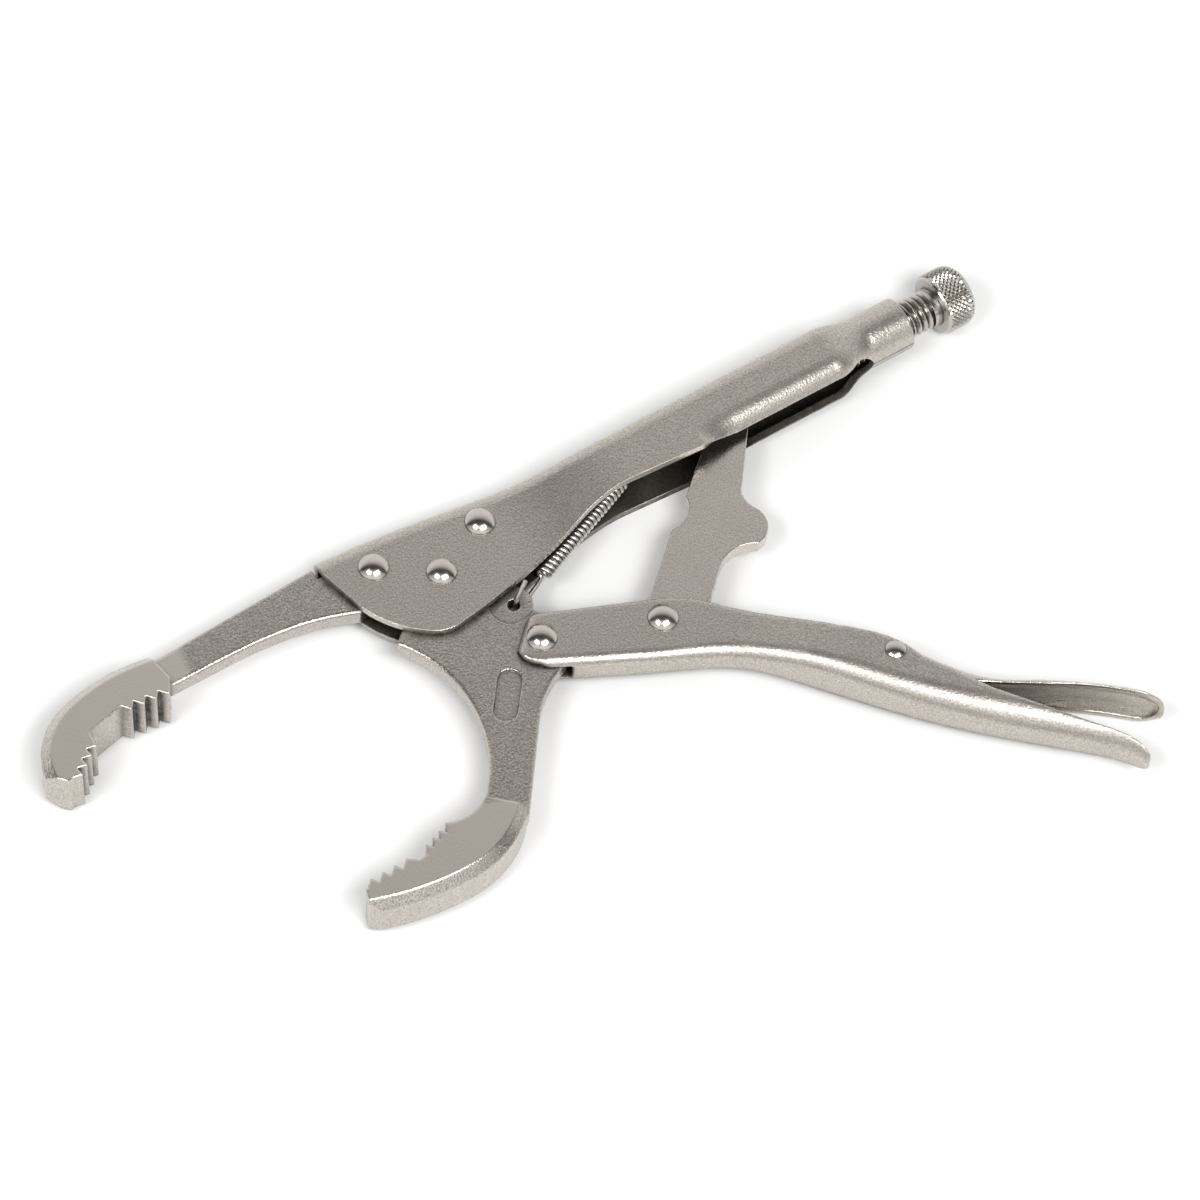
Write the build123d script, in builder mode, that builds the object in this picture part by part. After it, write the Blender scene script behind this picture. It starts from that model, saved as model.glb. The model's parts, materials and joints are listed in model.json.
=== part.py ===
from build123d import *
import os
from math import asin, cos, pi, radians, sin, tan

# Locking filter pliers lying on their side, jaws to -X, knob to +X, thickness along Z.
# The drawing's origin is the jaw pivot on the mid plane; the finished pieces are
# moved together so that the origin is under the middle of the whole tool.

# Plates and sheets (mm)
jaw_plate = 5.2          # both jaw arms
jaw_head = 14.2          # both jaw heads
arm_round = 0.8          # forged edges of both jaw arms
sheet = 1.9              # both handles
lever_sheet = 1.5        # release lever
link_plate = 4.0         # toggle link
side_play = 0.1          # each side of a plate that turns between two walls
pin_play = 0.05          # radial, round every rivet
pocket = jaw_plate + 2 * side_play       # between the walls at the jaws
front_width = pocket + 2 * sheet         # over the walls at the jaws

# Pivots, seen from above
handle_pivot = (10.8, -28.5)
link_pivot = (39.0, -39.2)
release_pivot = (81.2, -77.4)
front_rivet = (-13.6, 9.6)
rear_rivet = (15.6, 7.2)
spring_hole = (10.7, -16.1)
spring_anchor = (62.0, 4.8)

# Rivets
shank_r = 2.5
head_r = 3.75
head_rise = 2.1
head_rim = 0.4
small_shank_r = 1.6
small_head_r = 2.5
small_head_rise = 1.2

# Fixed handle
screw_y = 4.8            # adjusting screw's axis
front_x = -25.2          # front edge of the walls
flare_start_x = 20.0     # walls begin to part
flare_end_x = 54.0
lip_start_x = 74.0       # walls begin to curl into lips
barrel_start_x = 84.0    # lips are fully curled from here
barrel_end_x = 115.0
neck_end_x = 129.0
tail_end_x = 139.8
front_spine_y = 18.6     # top of the spine over the front rivet
waist_spine_y = 11.8
waist_width = 17.0
barrel_rise = 7.1        # barrel's top over the screw's axis
barrel_drop = 9.4        # barrel's bottom under it
tail_r = 7.0
spine_bend = 4.3         # outer radius of the folded spine
lip_bend = 6.0           # outer radius of the curled lips
skirt_y = -26.0          # walls are made this deep, then trimmed to their outline
lip_start_y = -4.6       # walls' lower edge where they begin to curl
slot_half = 5.0          # half the gap between the lips
slot_end_x = 127.5       # where the gap closes to the seam
slot_round = 7.0         # length of its rounded end
seam_gap = 0.3           # butted seam under the tail
neck_ease = 2.0          # straight run at each end of the neck
neck_thin = 0.8          # its wall there, against the sheet's
tab_width = 5.0          # lanced tab for the spring
tab_drop = 1.9           # tab's end below the spring's hole
tab_hole_r = 1.2

# Jaws
hub_r = 9.5              # moving jaw round its pivot
hub_gap = 0.5            # to the fixed jaw's seat
boss_r = 7.0             # moving jaw round the handle's pivot
tooth_depth = 1.9
tooth_lean = 0.62        # valley's place between two tips
teeth = 4                # in each row
back_chamfer = 2.4       # along the backs of the heads
spot_r = 5.6             # spot face round the spring's hole
spot_depth = 0.6
spring_hole_r = 1.6
recess_length = 14.4     # oval recess in the moving jaw
recess_width = 6.0
recess_depth = 0.5
tang_gap = 0.3           # fixed jaw's tang under the spine's inner bend
plate_overlap = 6.0      # how far each arm runs into its head

# Moving handle
grip_width = 14.6        # over the walls behind the link
grip_bend = 2.6
ear_r = 7.0
grip_angle = -47.0       # the grip's run, seen from above
grip_flare_start = 42.0  # along the run, from the handle's pivot
grip_flare_end = 74.0
grip_length = 150.2
grip_end_r = 4.0         # corners of its end, in plan
base_front = (12.2, -38.2)
base_tilt = -27.0        # the base's run behind the ears
base_setback = 1.2

# Release lever
lever_play = 0.35        # each side, in the moving handle
tongue_width = 15.0
lever_bend = 3.0
lever_flare_start = 106.0
lever_flare_end = 124.0
lever_length = 150.4     # along the grip's run, to the tongue's end

# Adjusting screw
screw_r = 5.0
screw_play = 0.05
screw_tip_x = 95.4
knob_r = 7.5
knob_start_x = 150.2
knob_length = 8.9
knob_round = 1.4

# Toggle link
nose_r = 4.0
nose = (89.5, screw_y)   # centre of the rounded end that meets the screw
link_end_r = 6.5

# Tension spring
wire_r = 0.5
coil_r = 1.55            # to the middle of the wire
coil_pitch = 1.46
coil_turns = 23
hook_play = 0.3          # wire to the lug and the tab
hook_bend = 1.0          # to the middle of the wire
hook_rise = 50.0         # slope of the free end that stands out of the hole
hook_end = 6.2           # length of that end


def handle_form(inset, lead):
    """The fixed handle's outer form, or its hollow when inset by the sheet."""
    start_x = front_x - lead
    barrel_top = screw_y + barrel_rise - inset
    barrel_bottom = screw_y - barrel_drop + inset
    narrow = front_width / 2 - inset
    wide = waist_width / 2 - inset
    with BuildPart() as form:
        with BuildSketch():
            with BuildLine():
                brow = Spline((start_x, front_spine_y + 0.8 - inset), (0.0, front_spine_y - 1.4 - inset),
                              (flare_end_x, waist_spine_y - inset), tangents=((1, -0.03), (1, 0)))
                swell = Spline(brow @ 1, (barrel_start_x, barrel_top), tangents=((1, 0), (1, 0)))
                back = Line(swell @ 1, (barrel_end_x, barrel_top))
                Polyline(back @ 1, (barrel_end_x, barrel_bottom), (barrel_start_x, barrel_bottom),
                         (barrel_start_x, skirt_y), (start_x, skirt_y), brow @ 0)
            make_face()
        extrude(amount=waist_width, both=True)
        with BuildSketch(Plane.XZ):
            with BuildLine():
                cheek = Line((start_x, narrow), (flare_start_x, narrow))
                flare = TangentArc(cheek @ 1, ((flare_start_x + flare_end_x) / 2, (narrow + wide) / 2),
                                   tangent=(1, 0))
                settle = TangentArc(flare @ 1, (flare_end_x, wide), tangent=flare % 1)
                side = Line(settle @ 1, (barrel_end_x, wide))
                Polyline(side @ 1, (barrel_end_x, 0), (start_x, 0), cheek @ 0)
            make_face()
            mirror(about=Plane.XZ)
        extrude(amount=-2 * skirt_y, both=True, mode=Mode.INTERSECT)
        lengthwise = form.edges().filter_by(lambda edge: abs(edge.tangent_at(0.5).X) > 0.8)
        outside = lengthwise.filter_by(lambda edge: abs(edge.center().Z) > 0.9 * narrow)
        fillet(outside.filter_by(lambda edge: edge.center().Y > screw_y), radius=spine_bend - inset)
        lengthwise = form.edges().filter_by(lambda edge: abs(edge.tangent_at(0.5).X) > 0.8)
        lips = lengthwise.filter_by(lambda edge: abs(edge.center().Y - barrel_bottom) < 0.01)
        fillet(lips.filter_by(lambda edge: abs(edge.center().Z) > 0.9 * wide), radius=lip_bend - inset)
    return form.part


def barrel_ring(x, inset):
    """The barrel's section, from the spine's flat on round."""
    top = screw_y + barrel_rise - inset
    bottom = screw_y - barrel_drop + inset
    half = waist_width / 2 - inset
    spine_r = spine_bend - inset
    lip_r = lip_bend - inset
    with BuildSketch(Plane.YZ.offset(x)) as ring:
        with BuildLine():
            spine = Line((top, spine_r - half), (top, half - spine_r))
            fold = TangentArc(spine @ 1, (top - spine_r, half), tangent=spine % 1)
            wall = Line(fold @ 1, (bottom + lip_r, half))
            lip = TangentArc(wall @ 1, (bottom, half - lip_r), tangent=wall % 1)
            floor = Line(lip @ 1, (bottom, lip_r - half))
            far_lip = TangentArc(floor @ 1, (bottom + lip_r, -half), tangent=floor % 1)
            far_wall = Line(far_lip @ 1, (top - spine_r, -half))
            TangentArc(far_wall @ 1, spine @ 0, tangent=far_wall % 1)
        make_face()
    return ring.sketch.face()


def tail_ring(x, radius):
    """The round tail's section, in as many arcs as the barrel's has sides and corners."""
    stops = (-20, 20, 60, 120, 160, 200, 240, 300, 340)
    with BuildSketch(Plane.YZ.offset(x)) as ring:
        with BuildLine():
            for begin, end in zip(stops, stops[1:]):
                turns = (begin, (begin + end) / 2, end)
                ThreePointArc(*[(screw_y + radius * cos(radians(turn)), radius * sin(radians(turn)))
                                for turn in turns])
        make_face()
    return ring.sketch.face()


def lip_ease():
    """Where the near wall curls into its lip: from flat sheet to the lip's section."""
    half = waist_width / 2
    lip_z = half - lip_bend
    top = screw_y - barrel_drop + lip_bend
    inner_r = lip_bend - sheet
    outer_turn = asin((slot_half - lip_z) / lip_bend)
    inner_turn = asin((slot_half - lip_z) / inner_r)
    with BuildPart() as form:
        with BuildSketch(Plane.YZ.offset(lip_start_x)):
            with BuildLine():
                Polyline((top, half), (lip_start_y, half), (lip_start_y, half - sheet), (top, half - sheet),
                         (top, half))
            make_face()
        with BuildSketch(Plane.YZ.offset(barrel_start_x)):
            with BuildLine():
                outer = [(top - lip_bend * cos(turn), lip_z + lip_bend * sin(turn))
                         for turn in (pi / 2, (pi / 2 + outer_turn) / 2, outer_turn)]
                inner = [(top - inner_r * cos(turn), lip_z + inner_r * sin(turn))
                         for turn in (inner_turn, (pi / 2 + inner_turn) / 2, pi / 2)]
                ThreePointArc(*outer)
                Line(outer[2], inner[0])
                ThreePointArc(*inner)
                Line(inner[2], outer[0])
            make_face()
        loft()
    return form.part


def neck_form(inset):
    """Where the barrel is drawn in to the round tail."""
    radius = tail_r - inset * neck_thin
    with BuildPart() as form:
        loft([barrel_ring(barrel_end_x, inset), barrel_ring(barrel_end_x + neck_ease, inset),
              tail_ring(neck_end_x - neck_ease, radius), tail_ring(neck_end_x, radius)])
    return form.part


# Fixed handle
handle_outside = handle_form(0.0, lead=sheet)
handle_hollow = handle_form(sheet, lead=2 * sheet)
neck_outside = neck_form(0.0)
neck_hollow = neck_form(sheet)

with BuildPart() as fixed_handle:
    add(handle_outside)
    add(handle_hollow, mode=Mode.SUBTRACT)
    # Outline of both walls, seen from above
    with BuildSketch():
        with BuildLine():
            brow_edge = Line((front_x + 0.9, front_spine_y + 4), (front_x, 14.4))
            front_edge = Line(brow_edge @ 1, (-21.9, 1.0))
            cheek_edge = ThreePointArc(front_edge @ 1, (-17.0, -7.6), (-10.6, -13.4))
            chin_edge = TangentArc(cheek_edge @ 1, (-4.6, -15.0), tangent=cheek_edge % 1)
            under_edge = ThreePointArc(chin_edge @ 1, (16.8, -11.2), (30.0, -7.7))
            rise_edge = Spline(under_edge @ 1, (52.0, -3.3), tangents=(under_edge % 1, (1, -0.03)))
            lip_edge = Line(rise_edge @ 1, (lip_start_x, lip_start_y))
            below = screw_y - barrel_drop - 1
            lip_top = screw_y - barrel_drop + lip_bend
            Polyline(lip_edge @ 1, (lip_start_x, lip_top), (barrel_start_x, lip_top), (barrel_start_x, below),
                     (tail_end_x, below), (tail_end_x, front_spine_y + 4), brow_edge @ 0)
        make_face()
    extrude(amount=waist_width, both=True, mode=Mode.INTERSECT)
    add(neck_outside)
    add(neck_hollow, mode=Mode.SUBTRACT)
    with BuildSketch(Plane.YZ.offset(neck_end_x)):
        with Locations((screw_y, 0)):
            Circle(tail_r)
            Circle(screw_r + screw_play, mode=Mode.SUBTRACT)
    extrude(amount=tail_end_x - neck_end_x)
    # Slot between the lips, closing to the seam under the tail
    with BuildSketch(Plane.XZ.offset(screw_r / 2 - screw_y)):
        with BuildLine():
            lip_side = Line((barrel_start_x - sheet, slot_half), (slot_end_x - slot_round, slot_half))
            bulge = (slot_end_x - 0.3 * slot_round, 0.66 * slot_half)
            eye_side = ThreePointArc(lip_side @ 1, bulge, (slot_end_x, seam_gap / 2))
            seam_side = Line(eye_side @ 1, (tail_end_x + 1, seam_gap / 2))
            Polyline(seam_side @ 1, (tail_end_x + 1, 0), (barrel_start_x - sheet, 0), lip_side @ 0)
        make_face()
        mirror(about=Plane.XZ)
    extrude(amount=barrel_drop, mode=Mode.SUBTRACT)
    near_lip = lip_ease()
    add(near_lip)
    add(mirror(near_lip, about=Plane.XY, mode=Mode.PRIVATE))
    # Tab lanced out of the spine, and the window that it leaves
    tab_x = spring_anchor[0] - sheet / 2
    tab_end_y = spring_anchor[1] - tab_drop
    tab_length = waist_spine_y - sheet / 2 - tab_end_y
    with Locations((tab_x + 1.5 * sheet + tab_length / 2, waist_spine_y, 0)):
        Box(tab_length + sheet, 4 * sheet, tab_width + 2 * side_play, mode=Mode.SUBTRACT)
    with Locations((spring_anchor[0], tab_end_y + tab_length / 2, 0)):
        Box(sheet, tab_length, tab_width)
    with Locations(Plane.YZ.offset(tab_x) * Location((spring_anchor[1], 0))):
        Cylinder(tab_hole_r, 4 * sheet, mode=Mode.SUBTRACT)
    with Locations((0, 0), front_rivet, rear_rivet):
        Cylinder(shank_r + pin_play, 2 * front_width, mode=Mode.SUBTRACT)


def tooth_row(start, direction, into, pitch):
    """Tips and valleys of one row of teeth, from its first tip on."""
    points = []
    for number in range(teeth):
        along = number * pitch
        tip = (start[0] + along * direction[0], start[1] + along * direction[1])
        run = tooth_lean * pitch
        points.append(tip)
        points.append((tip[0] + run * direction[0] + tooth_depth * into[0],
                       tip[1] + run * direction[1] + tooth_depth * into[1]))
    return points


def back_rims(head):
    """The arcs along a head's back, on both of its faces."""
    rims = head.edges().filter_by(GeomType.CIRCLE)
    return rims.filter_by(lambda edge: abs(abs(edge.center().Z) - jaw_head / 2) < 0.01)


def arm_rims(jaw):
    """The long edges of a jaw's arm, on both of its faces."""
    rims = jaw.edges().filter_by(lambda edge: abs(abs(edge.center().Z) - jaw_plate / 2) < 0.01)
    return rims.filter_by(lambda edge: edge.length > 12 and (edge.center().X < -30 or edge.center().Y < -20))


# Fixed jaw: an arm riveted into the handle, and a wide head with two rows of teeth
with BuildPart() as fixed_head:
    with BuildSketch():
        with BuildLine():
            crown = ThreePointArc((-73.6, 15.9), (-86.0, 16.7), (-98.0, 14.4))
            shoulder = TangentArc(crown @ 1, (-111.0, -0.6), tangent=crown % 1)
            toe = Line(shoulder @ 1, (-107.2, -5.0))
            outer_row = tooth_row((-96.7, 0.0), (-0.791, -0.611), (-0.611, 0.791), 2.8)
            inner_row = tooth_row((-74.8, 3.3), (-0.995, 0.1), (0.1, 0.995), 3.24)
            bite = Polyline(toe @ 1, *reversed(outer_row), (-96.2, 4.1), *reversed(inner_row), (-72.3, 7.2))
            step = Line(bite @ 1, crown @ 0)
        make_face()
    extrude(amount=jaw_head / 2, both=True)
    chamfer(back_rims(fixed_head), length=back_chamfer)

with BuildPart() as fixed_jaw:
    with BuildSketch():
        with BuildLine():
            seat_r = hub_r + hub_gap
            seat_start = (-seat_r * cos(radians(20)), seat_r * sin(radians(20)))
            seat_end = (seat_r * cos(radians(15)), seat_r * sin(radians(15)))
            arm_top = Line((-72.5 - plate_overlap, 15.4), (-26.4, 18.0))
            tang_y = front_spine_y - spine_bend - tang_gap
            tang = Polyline(arm_top @ 1, (-26.4, tang_y + 0.8), (0.0, tang_y - 1.4), (22.0, tang_y - 3.6),
                            (22.0, seat_end[1]), seat_end)
            seat = ThreePointArc(seat_end, (0, seat_r), seat_start)
            throat = Line(seat @ 1, (-22.6, 1.2))
            belly = Spline(throat @ 1, (-30.8, 4.2), (-45.3, 6.7), (-69.7, 7.1),
                           tangents=((-1, 0.42), (-1, 0)))
            root_edge = Polyline(belly @ 1, (-72.5 - plate_overlap, 8.0), arm_top @ 0)
        make_face()
    extrude(amount=jaw_plate / 2, both=True)
    add(fixed_head.part)
    fillet(arm_rims(fixed_jaw), radius=arm_round)
    with Locations(front_rivet, rear_rivet):
        Cylinder(shank_r + pin_play, 2 * jaw_plate, mode=Mode.SUBTRACT)

# Moving jaw: hub, lug for the spring, boss for the handle, curved arm and head
with BuildPart() as moving_head:
    with BuildSketch():
        with BuildLine():
            heel = ThreePointArc((-18.4, -67.8), (-26.8, -73.6), (-38.0, -76.0))
            sole = TangentArc(heel @ 1, (-61.4, -72.2), tangent=heel % 1)
            outer_row = tooth_row((-50.0, -64.3), (-1.0, -0.02), (0.0, -1.0), 3.3)
            inner_row = tooth_row((-37.2, -61.0), (-0.94, -0.35), (0.35, -0.94), 2.5)
            bite = Polyline(sole @ 1, (-63.4, -69.6), (-62.3, -66.3), *reversed(outer_row), (-47.5, -66.2),
                            *reversed(inner_row))
            brow = ThreePointArc(bite @ 1, (-31.4, -62.2), (-25.1, -59.8))
            step = Polyline(brow @ 1, (-18.1, -66.5), heel @ 0)
        make_face()
    extrude(amount=jaw_head / 2, both=True)
    soles = back_rims(moving_head).filter_by(lambda edge: edge.center().Y < -68)
    chamfer(soles, length=back_chamfer)

with BuildPart() as moving_jaw:
    with BuildSketch():
        with BuildLine():
            bx, by = handle_pivot
            boss_top = (bx + boss_r * cos(radians(20)), by + boss_r * sin(radians(20)))
            boss_side = (bx + boss_r * cos(radians(-18)), by + boss_r * sin(radians(-18)))
            boss_end = (bx + boss_r * cos(radians(-55)), by + boss_r * sin(radians(-55)))
            hub_start = (-hub_r * cos(radians(12)), -hub_r * sin(radians(12)))
            hub_end = (hub_r * cos(radians(20)), -hub_r * sin(radians(20)))
            hub = ThreePointArc(hub_start, (0, hub_r), hub_end)
            spot_x, spot_y = spring_hole[0] - 0.5, spring_hole[1] + 0.5
            lug_r = spot_r - 0.1
            lug_rim = [(spot_x + lug_r * cos(radians(turn)), spot_y + lug_r * sin(radians(turn)))
                       for turn in (40, -5, -50)]
            lug_top = Line(hub @ 1, lug_rim[0])
            lug = ThreePointArc(*lug_rim)
            lug_root = Line(lug @ 1, boss_top)
            boss = ThreePointArc(lug_root @ 1, boss_side, boss_end)
            heel = Line(boss @ 1, (13.0, -36.6))
            outer_bend = ThreePointArc(heel @ 1, (4.0, -41.2), (-2.0, -47.6))
            outer_run = Line(outer_bend @ 1, (-17.0, -66.8))
            buried = Polyline(outer_run @ 1, (-22.0, -70.6), (-30.6, -64.6), (-26.0, -60.8), (-20.9, -54.4))
            inner_bend = ThreePointArc(buried @ 1, (-12.8, -32.5), (-19.5, -11.3))
            Polyline(inner_bend @ 1, (-18.6, -10.2), hub_start)
        make_face()
    extrude(amount=jaw_plate / 2, both=True)
    add(moving_head.part)
    fillet(arm_rims(moving_jaw), radius=arm_round)
    with Locations((0, 0), handle_pivot):
        Cylinder(shank_r + pin_play, 2 * jaw_plate, mode=Mode.SUBTRACT)
    with Locations(spring_hole):
        Cylinder(spring_hole_r, 2 * jaw_plate, mode=Mode.SUBTRACT)
    for side in (-1, 1):
        with Locations((spot_x, spot_y, side * jaw_plate / 2)):
            Cylinder(spot_r, 2 * spot_depth, mode=Mode.SUBTRACT)
    with BuildSketch(Plane.XY.offset(jaw_plate / 2)):
        with Locations((-4.3, -37.0)):
            SlotOverall(recess_length, recess_width, rotation=50.8)
    extrude(amount=-recess_depth, mode=Mode.SUBTRACT)


# The grip's run: U along the handle, V across it toward the fixed handle
grip_run = Vector(cos(radians(grip_angle)), sin(radians(grip_angle)), 0)
grip_across = Vector(-grip_run.Y, grip_run.X, 0)
grip_plane = Plane(origin=(*handle_pivot, 0), x_dir=grip_run, z_dir=(0, 0, 1))
grip_plan = Plane(origin=(*handle_pivot, 0), x_dir=grip_run, z_dir=-grip_across)


def plan_form(stations, length, round_r):
    """Plan of a channel along the grip: half widths at stations, then a round end."""
    with BuildSketch(grip_plan) as plan:
        with BuildLine():
            (start, narrow), (flare_start, _), (flare_end, wide) = stations
            cheek = Line((start, narrow), (flare_start, narrow))
            middle = ((flare_start + flare_end) / 2, (narrow + wide) / 2)
            flare = TangentArc(cheek @ 1, middle, tangent=(1, 0))
            settle = TangentArc(flare @ 1, (flare_end, wide), tangent=flare % 1)
            side = Line(settle @ 1, (length - round_r, wide))
            cap = TangentArc(side @ 1, (length, wide - round_r), tangent=(1, 0))
            Polyline(cap @ 1, (length, 0), (start, 0), cheek @ 0)
        make_face()
        mirror(about=Plane.XZ)
    return plan.sketch


def grip_point(along, over):
    """A point given along the grip's run from the handle's pivot, and across it."""
    return Vector(*handle_pivot, 0) + grip_run * along + grip_across * over


def across(point):
    """How far a point lies across the grip's run."""
    return grip_plane.to_local_coords(point).Y


def channel_form(side_face, plan_sketch, depth, bend, base_limit):
    """A folded channel's solid form: side view crossed with plan, its base edges rounded."""
    with BuildPart() as form:
        extrude(side_face, amount=grip_width, both=True)
        extrude(plan_sketch, amount=depth, both=True, mode=Mode.INTERSECT)
        folds = form.edges().filter_by(lambda edge: abs(edge.tangent_at(0.5).Z) < 0.9 and base_limit(edge))
        folds = folds.filter_by(lambda edge: abs(edge.center().Z) > 1)
        fillet(folds, radius=bend)
    return form.part


def grip_side(inset, lead):
    """Side view of the moving handle above its base."""
    lift = grip_across * inset
    with BuildSketch() as side:
        with BuildLine():
            tilt = Vector(cos(radians(base_tilt)), sin(radians(base_tilt)), 0)
            front_run = Line(Vector(*base_front, 0) - tilt * lead + lift, (43.5 + lift.X, -54.2 + lift.Y))
            base_run = Spline(front_run @ 1, (55.3 + lift.X, -63.1 + lift.Y), (73.6 + lift.X, -85.4 + lift.Y),
                              (94.0 + lift.X, -108.2 + lift.Y), (108.5 + lift.X, -122.0 + lift.Y),
                              grip_point(grip_length + 8, 8.9) + lift, tangents=(front_run % 1, (0.72, -0.7)))
            reach = grip_across * 40
            far = (base_run @ 1) + reach
            near = (front_run @ 0) + reach
            Polyline(base_run @ 1, far, near, front_run @ 0)
        make_face()
    return side.sketch


def grip_form(inset, lead):
    """The moving handle's outer form, or its hollow when inset by the sheet."""
    narrow = front_width / 2 - inset
    wide = grip_width / 2 - inset
    plan = plan_form([(-20.0, narrow), (grip_flare_start, narrow), (grip_flare_end, wide)],
                     grip_length - inset, grip_end_r - inset)
    return channel_form(grip_side(inset, lead), plan, 60, grip_bend - inset,
                        lambda edge: across(edge.center()) < 16)


# Moving handle
grip_outside = grip_form(0.0, 2 * ear_r)
grip_hollow = grip_form(sheet, 3 * ear_r)

with BuildPart() as moving_handle:
    add(grip_outside)
    add(grip_hollow, mode=Mode.SUBTRACT)
    # Outline of both walls, seen from above
    with BuildSketch():
        with BuildLine():
            ear_top = (bx + ear_r * cos(radians(60)), by + ear_r * sin(radians(60)))
            ear_low = (bx + ear_r * cos(radians(235)), by + ear_r * sin(radians(235)))
            ear = ThreePointArc(ear_low, (bx - ear_r, by), ear_top)
            front_edge = Line(ear @ 1, (39.1, -33.1))
            shoulder = ThreePointArc(front_edge @ 1, (47.6, -37.8), (53.4, -43.7))
            back_edge = Line(shoulder @ 1, (79.6, -70.2))
            pivot_edge = ThreePointArc(back_edge @ 1, (83.6, -75.6), (86.0, -82.0))
            dip_edge = Line(pivot_edge @ 1, (95.6, -98.4))
            grip_edge = Line(dip_edge @ 1, (115.2, -124.8))
            tail_edge = Line(grip_edge @ 1, grip_point(grip_length + 2, 9.6))
            Polyline(tail_edge @ 1, grip_point(grip_length + 2, -4), (43.0, -66.0), (12.0, -41.0), ear @ 0)
        make_face()
    extrude(amount=grip_width, both=True, mode=Mode.INTERSECT)
    # The base stops square behind the ears
    with Locations(Location((*base_front, 0), (0, 0, base_tilt))):
        with Locations((base_setback, 0, 0)):
            Box(6 * ear_r, 4 * ear_r, pocket, align=(Align.MAX, Align.CENTER, Align.CENTER),
                mode=Mode.SUBTRACT)
    with Locations(handle_pivot, link_pivot):
        Cylinder(shank_r + pin_play, 2 * grip_width, mode=Mode.SUBTRACT)
    with Locations(release_pivot):
        Cylinder(small_shank_r + pin_play, 2 * grip_width, mode=Mode.SUBTRACT)

# Toggle link
with BuildPart() as toggle_link:
    with BuildSketch():
        with BuildLine():
            cx, cy = link_pivot
            end_top = (cx + link_end_r * cos(radians(115)), cy + link_end_r * sin(radians(115)))
            end_low = (cx + link_end_r * cos(radians(305)), cy + link_end_r * sin(radians(305)))
            nose_left = (nose[0] + nose_r * cos(radians(132)), nose[1] + nose_r * sin(radians(132)))
            nose_right = (nose[0] + nose_r * cos(radians(-42)), nose[1] + nose_r * sin(radians(-42)))
            nose_tip = (nose[0] + nose_r * cos(radians(45)), nose[1] + nose_r * sin(radians(45)))
            low_end = ThreePointArc(end_low, (cx - link_end_r, cy), end_top)
            left = Polyline(low_end @ 1, (40.7, -31.1), (55.8, -18.0))
            notch = ThreePointArc(left @ 1, (61.6, -16.4), (64.1, -11.6))
            neck_left = Line(notch @ 1, nose_left)
            tip = ThreePointArc(neck_left @ 1, nose_tip, nose_right)
            neck_right = Line(tip @ 1, (78.0, -15.8))
            throat = ThreePointArc(neck_right @ 1, (76.1, -19.2), (76.7, -23.0))
            hump = ThreePointArc(throat @ 1, (76.4, -29.8), (71.8, -32.2))
            dip = ThreePointArc(hump @ 1, (66.2, -30.6), (59.4, -33.5))
            Polyline(dip @ 1, (53.5, -38.9), end_low)
        make_face()
    extrude(amount=link_plate / 2, both=True)
    with Locations(link_pivot):
        Cylinder(shank_r + pin_play, 2 * link_plate, mode=Mode.SUBTRACT)


def lever_side(inset):
    """Side view of the release lever under its back."""
    drop = grip_across * -inset
    with BuildSketch() as side:
        with BuildLine():
            back = Spline((66.0 + drop.X, -62.0 + drop.Y), (84.0 + drop.X, -74.4 + drop.Y),
                          (96.7 + drop.X, -92.6 + drop.Y), (113.2 + drop.X, -104.4 + drop.Y),
                          grip_point(lever_length + 3, 26.1) + drop, tangents=((0.96, -0.28), (0.7, -0.71)))
            reach = grip_across * -40
            Polyline(back @ 1, (back @ 1) + reach, (back @ 0) + reach, back @ 0)
        make_face()
    return side.sketch


def lever_form(inset):
    """The release lever's outer form, or its hollow when inset by its sheet."""
    narrow = grip_width / 2 - sheet - lever_play - inset
    wide = tongue_width / 2 - inset
    plan = plan_form([(40.0, narrow), (lever_flare_start, narrow), (lever_flare_end, wide)],
                     lever_length - inset, wide)
    return channel_form(lever_side(inset), plan, 60, lever_bend - inset,
                        lambda edge: across(edge.center()) > 2)


# Release lever
lever_outside = lever_form(0.0)
lever_hollow = lever_form(lever_sheet)

with BuildPart() as release_lever:
    add(lever_outside)
    add(lever_hollow, mode=Mode.SUBTRACT)
    with BuildSketch():
        with BuildLine():
            nose_edge = ThreePointArc((75.6, -60.0), (70.4, -66.0), (71.4, -72.6))
            low_edge = Spline(nose_edge @ 1, (78.6, -82.2), (90.0, -91.8), (99.0, -97.3), (107.0, -104.0),
                              grip_point(lever_length + 15, 22.5), tangents=((0.5, -0.86), (0.74, -0.67)))
            Polyline(low_edge @ 1, grip_point(lever_length + 15, 50), (84.0, -50.0), nose_edge @ 0)
        make_face()
    extrude(amount=grip_width, both=True, mode=Mode.INTERSECT)
    with Locations(release_pivot):
        Cylinder(small_shank_r + pin_play, 2 * grip_width, mode=Mode.SUBTRACT)

# Adjusting screw
with BuildPart() as adjusting_screw:
    with BuildSketch(Plane.YZ.offset(screw_tip_x)):
        with Locations((screw_y, 0)):
            Circle(screw_r)
    extrude(amount=knob_start_x - screw_tip_x)
    chamfer(adjusting_screw.edges().group_by(Axis.X)[0], length=1.0)
    with BuildSketch(Plane.YZ.offset(knob_start_x)):
        with Locations((screw_y, 0)):
            Circle(knob_r)
    extrude(amount=knob_length)
    fillet(adjusting_screw.edges().group_by(Axis.X)[-1], radius=knob_round)


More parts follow.
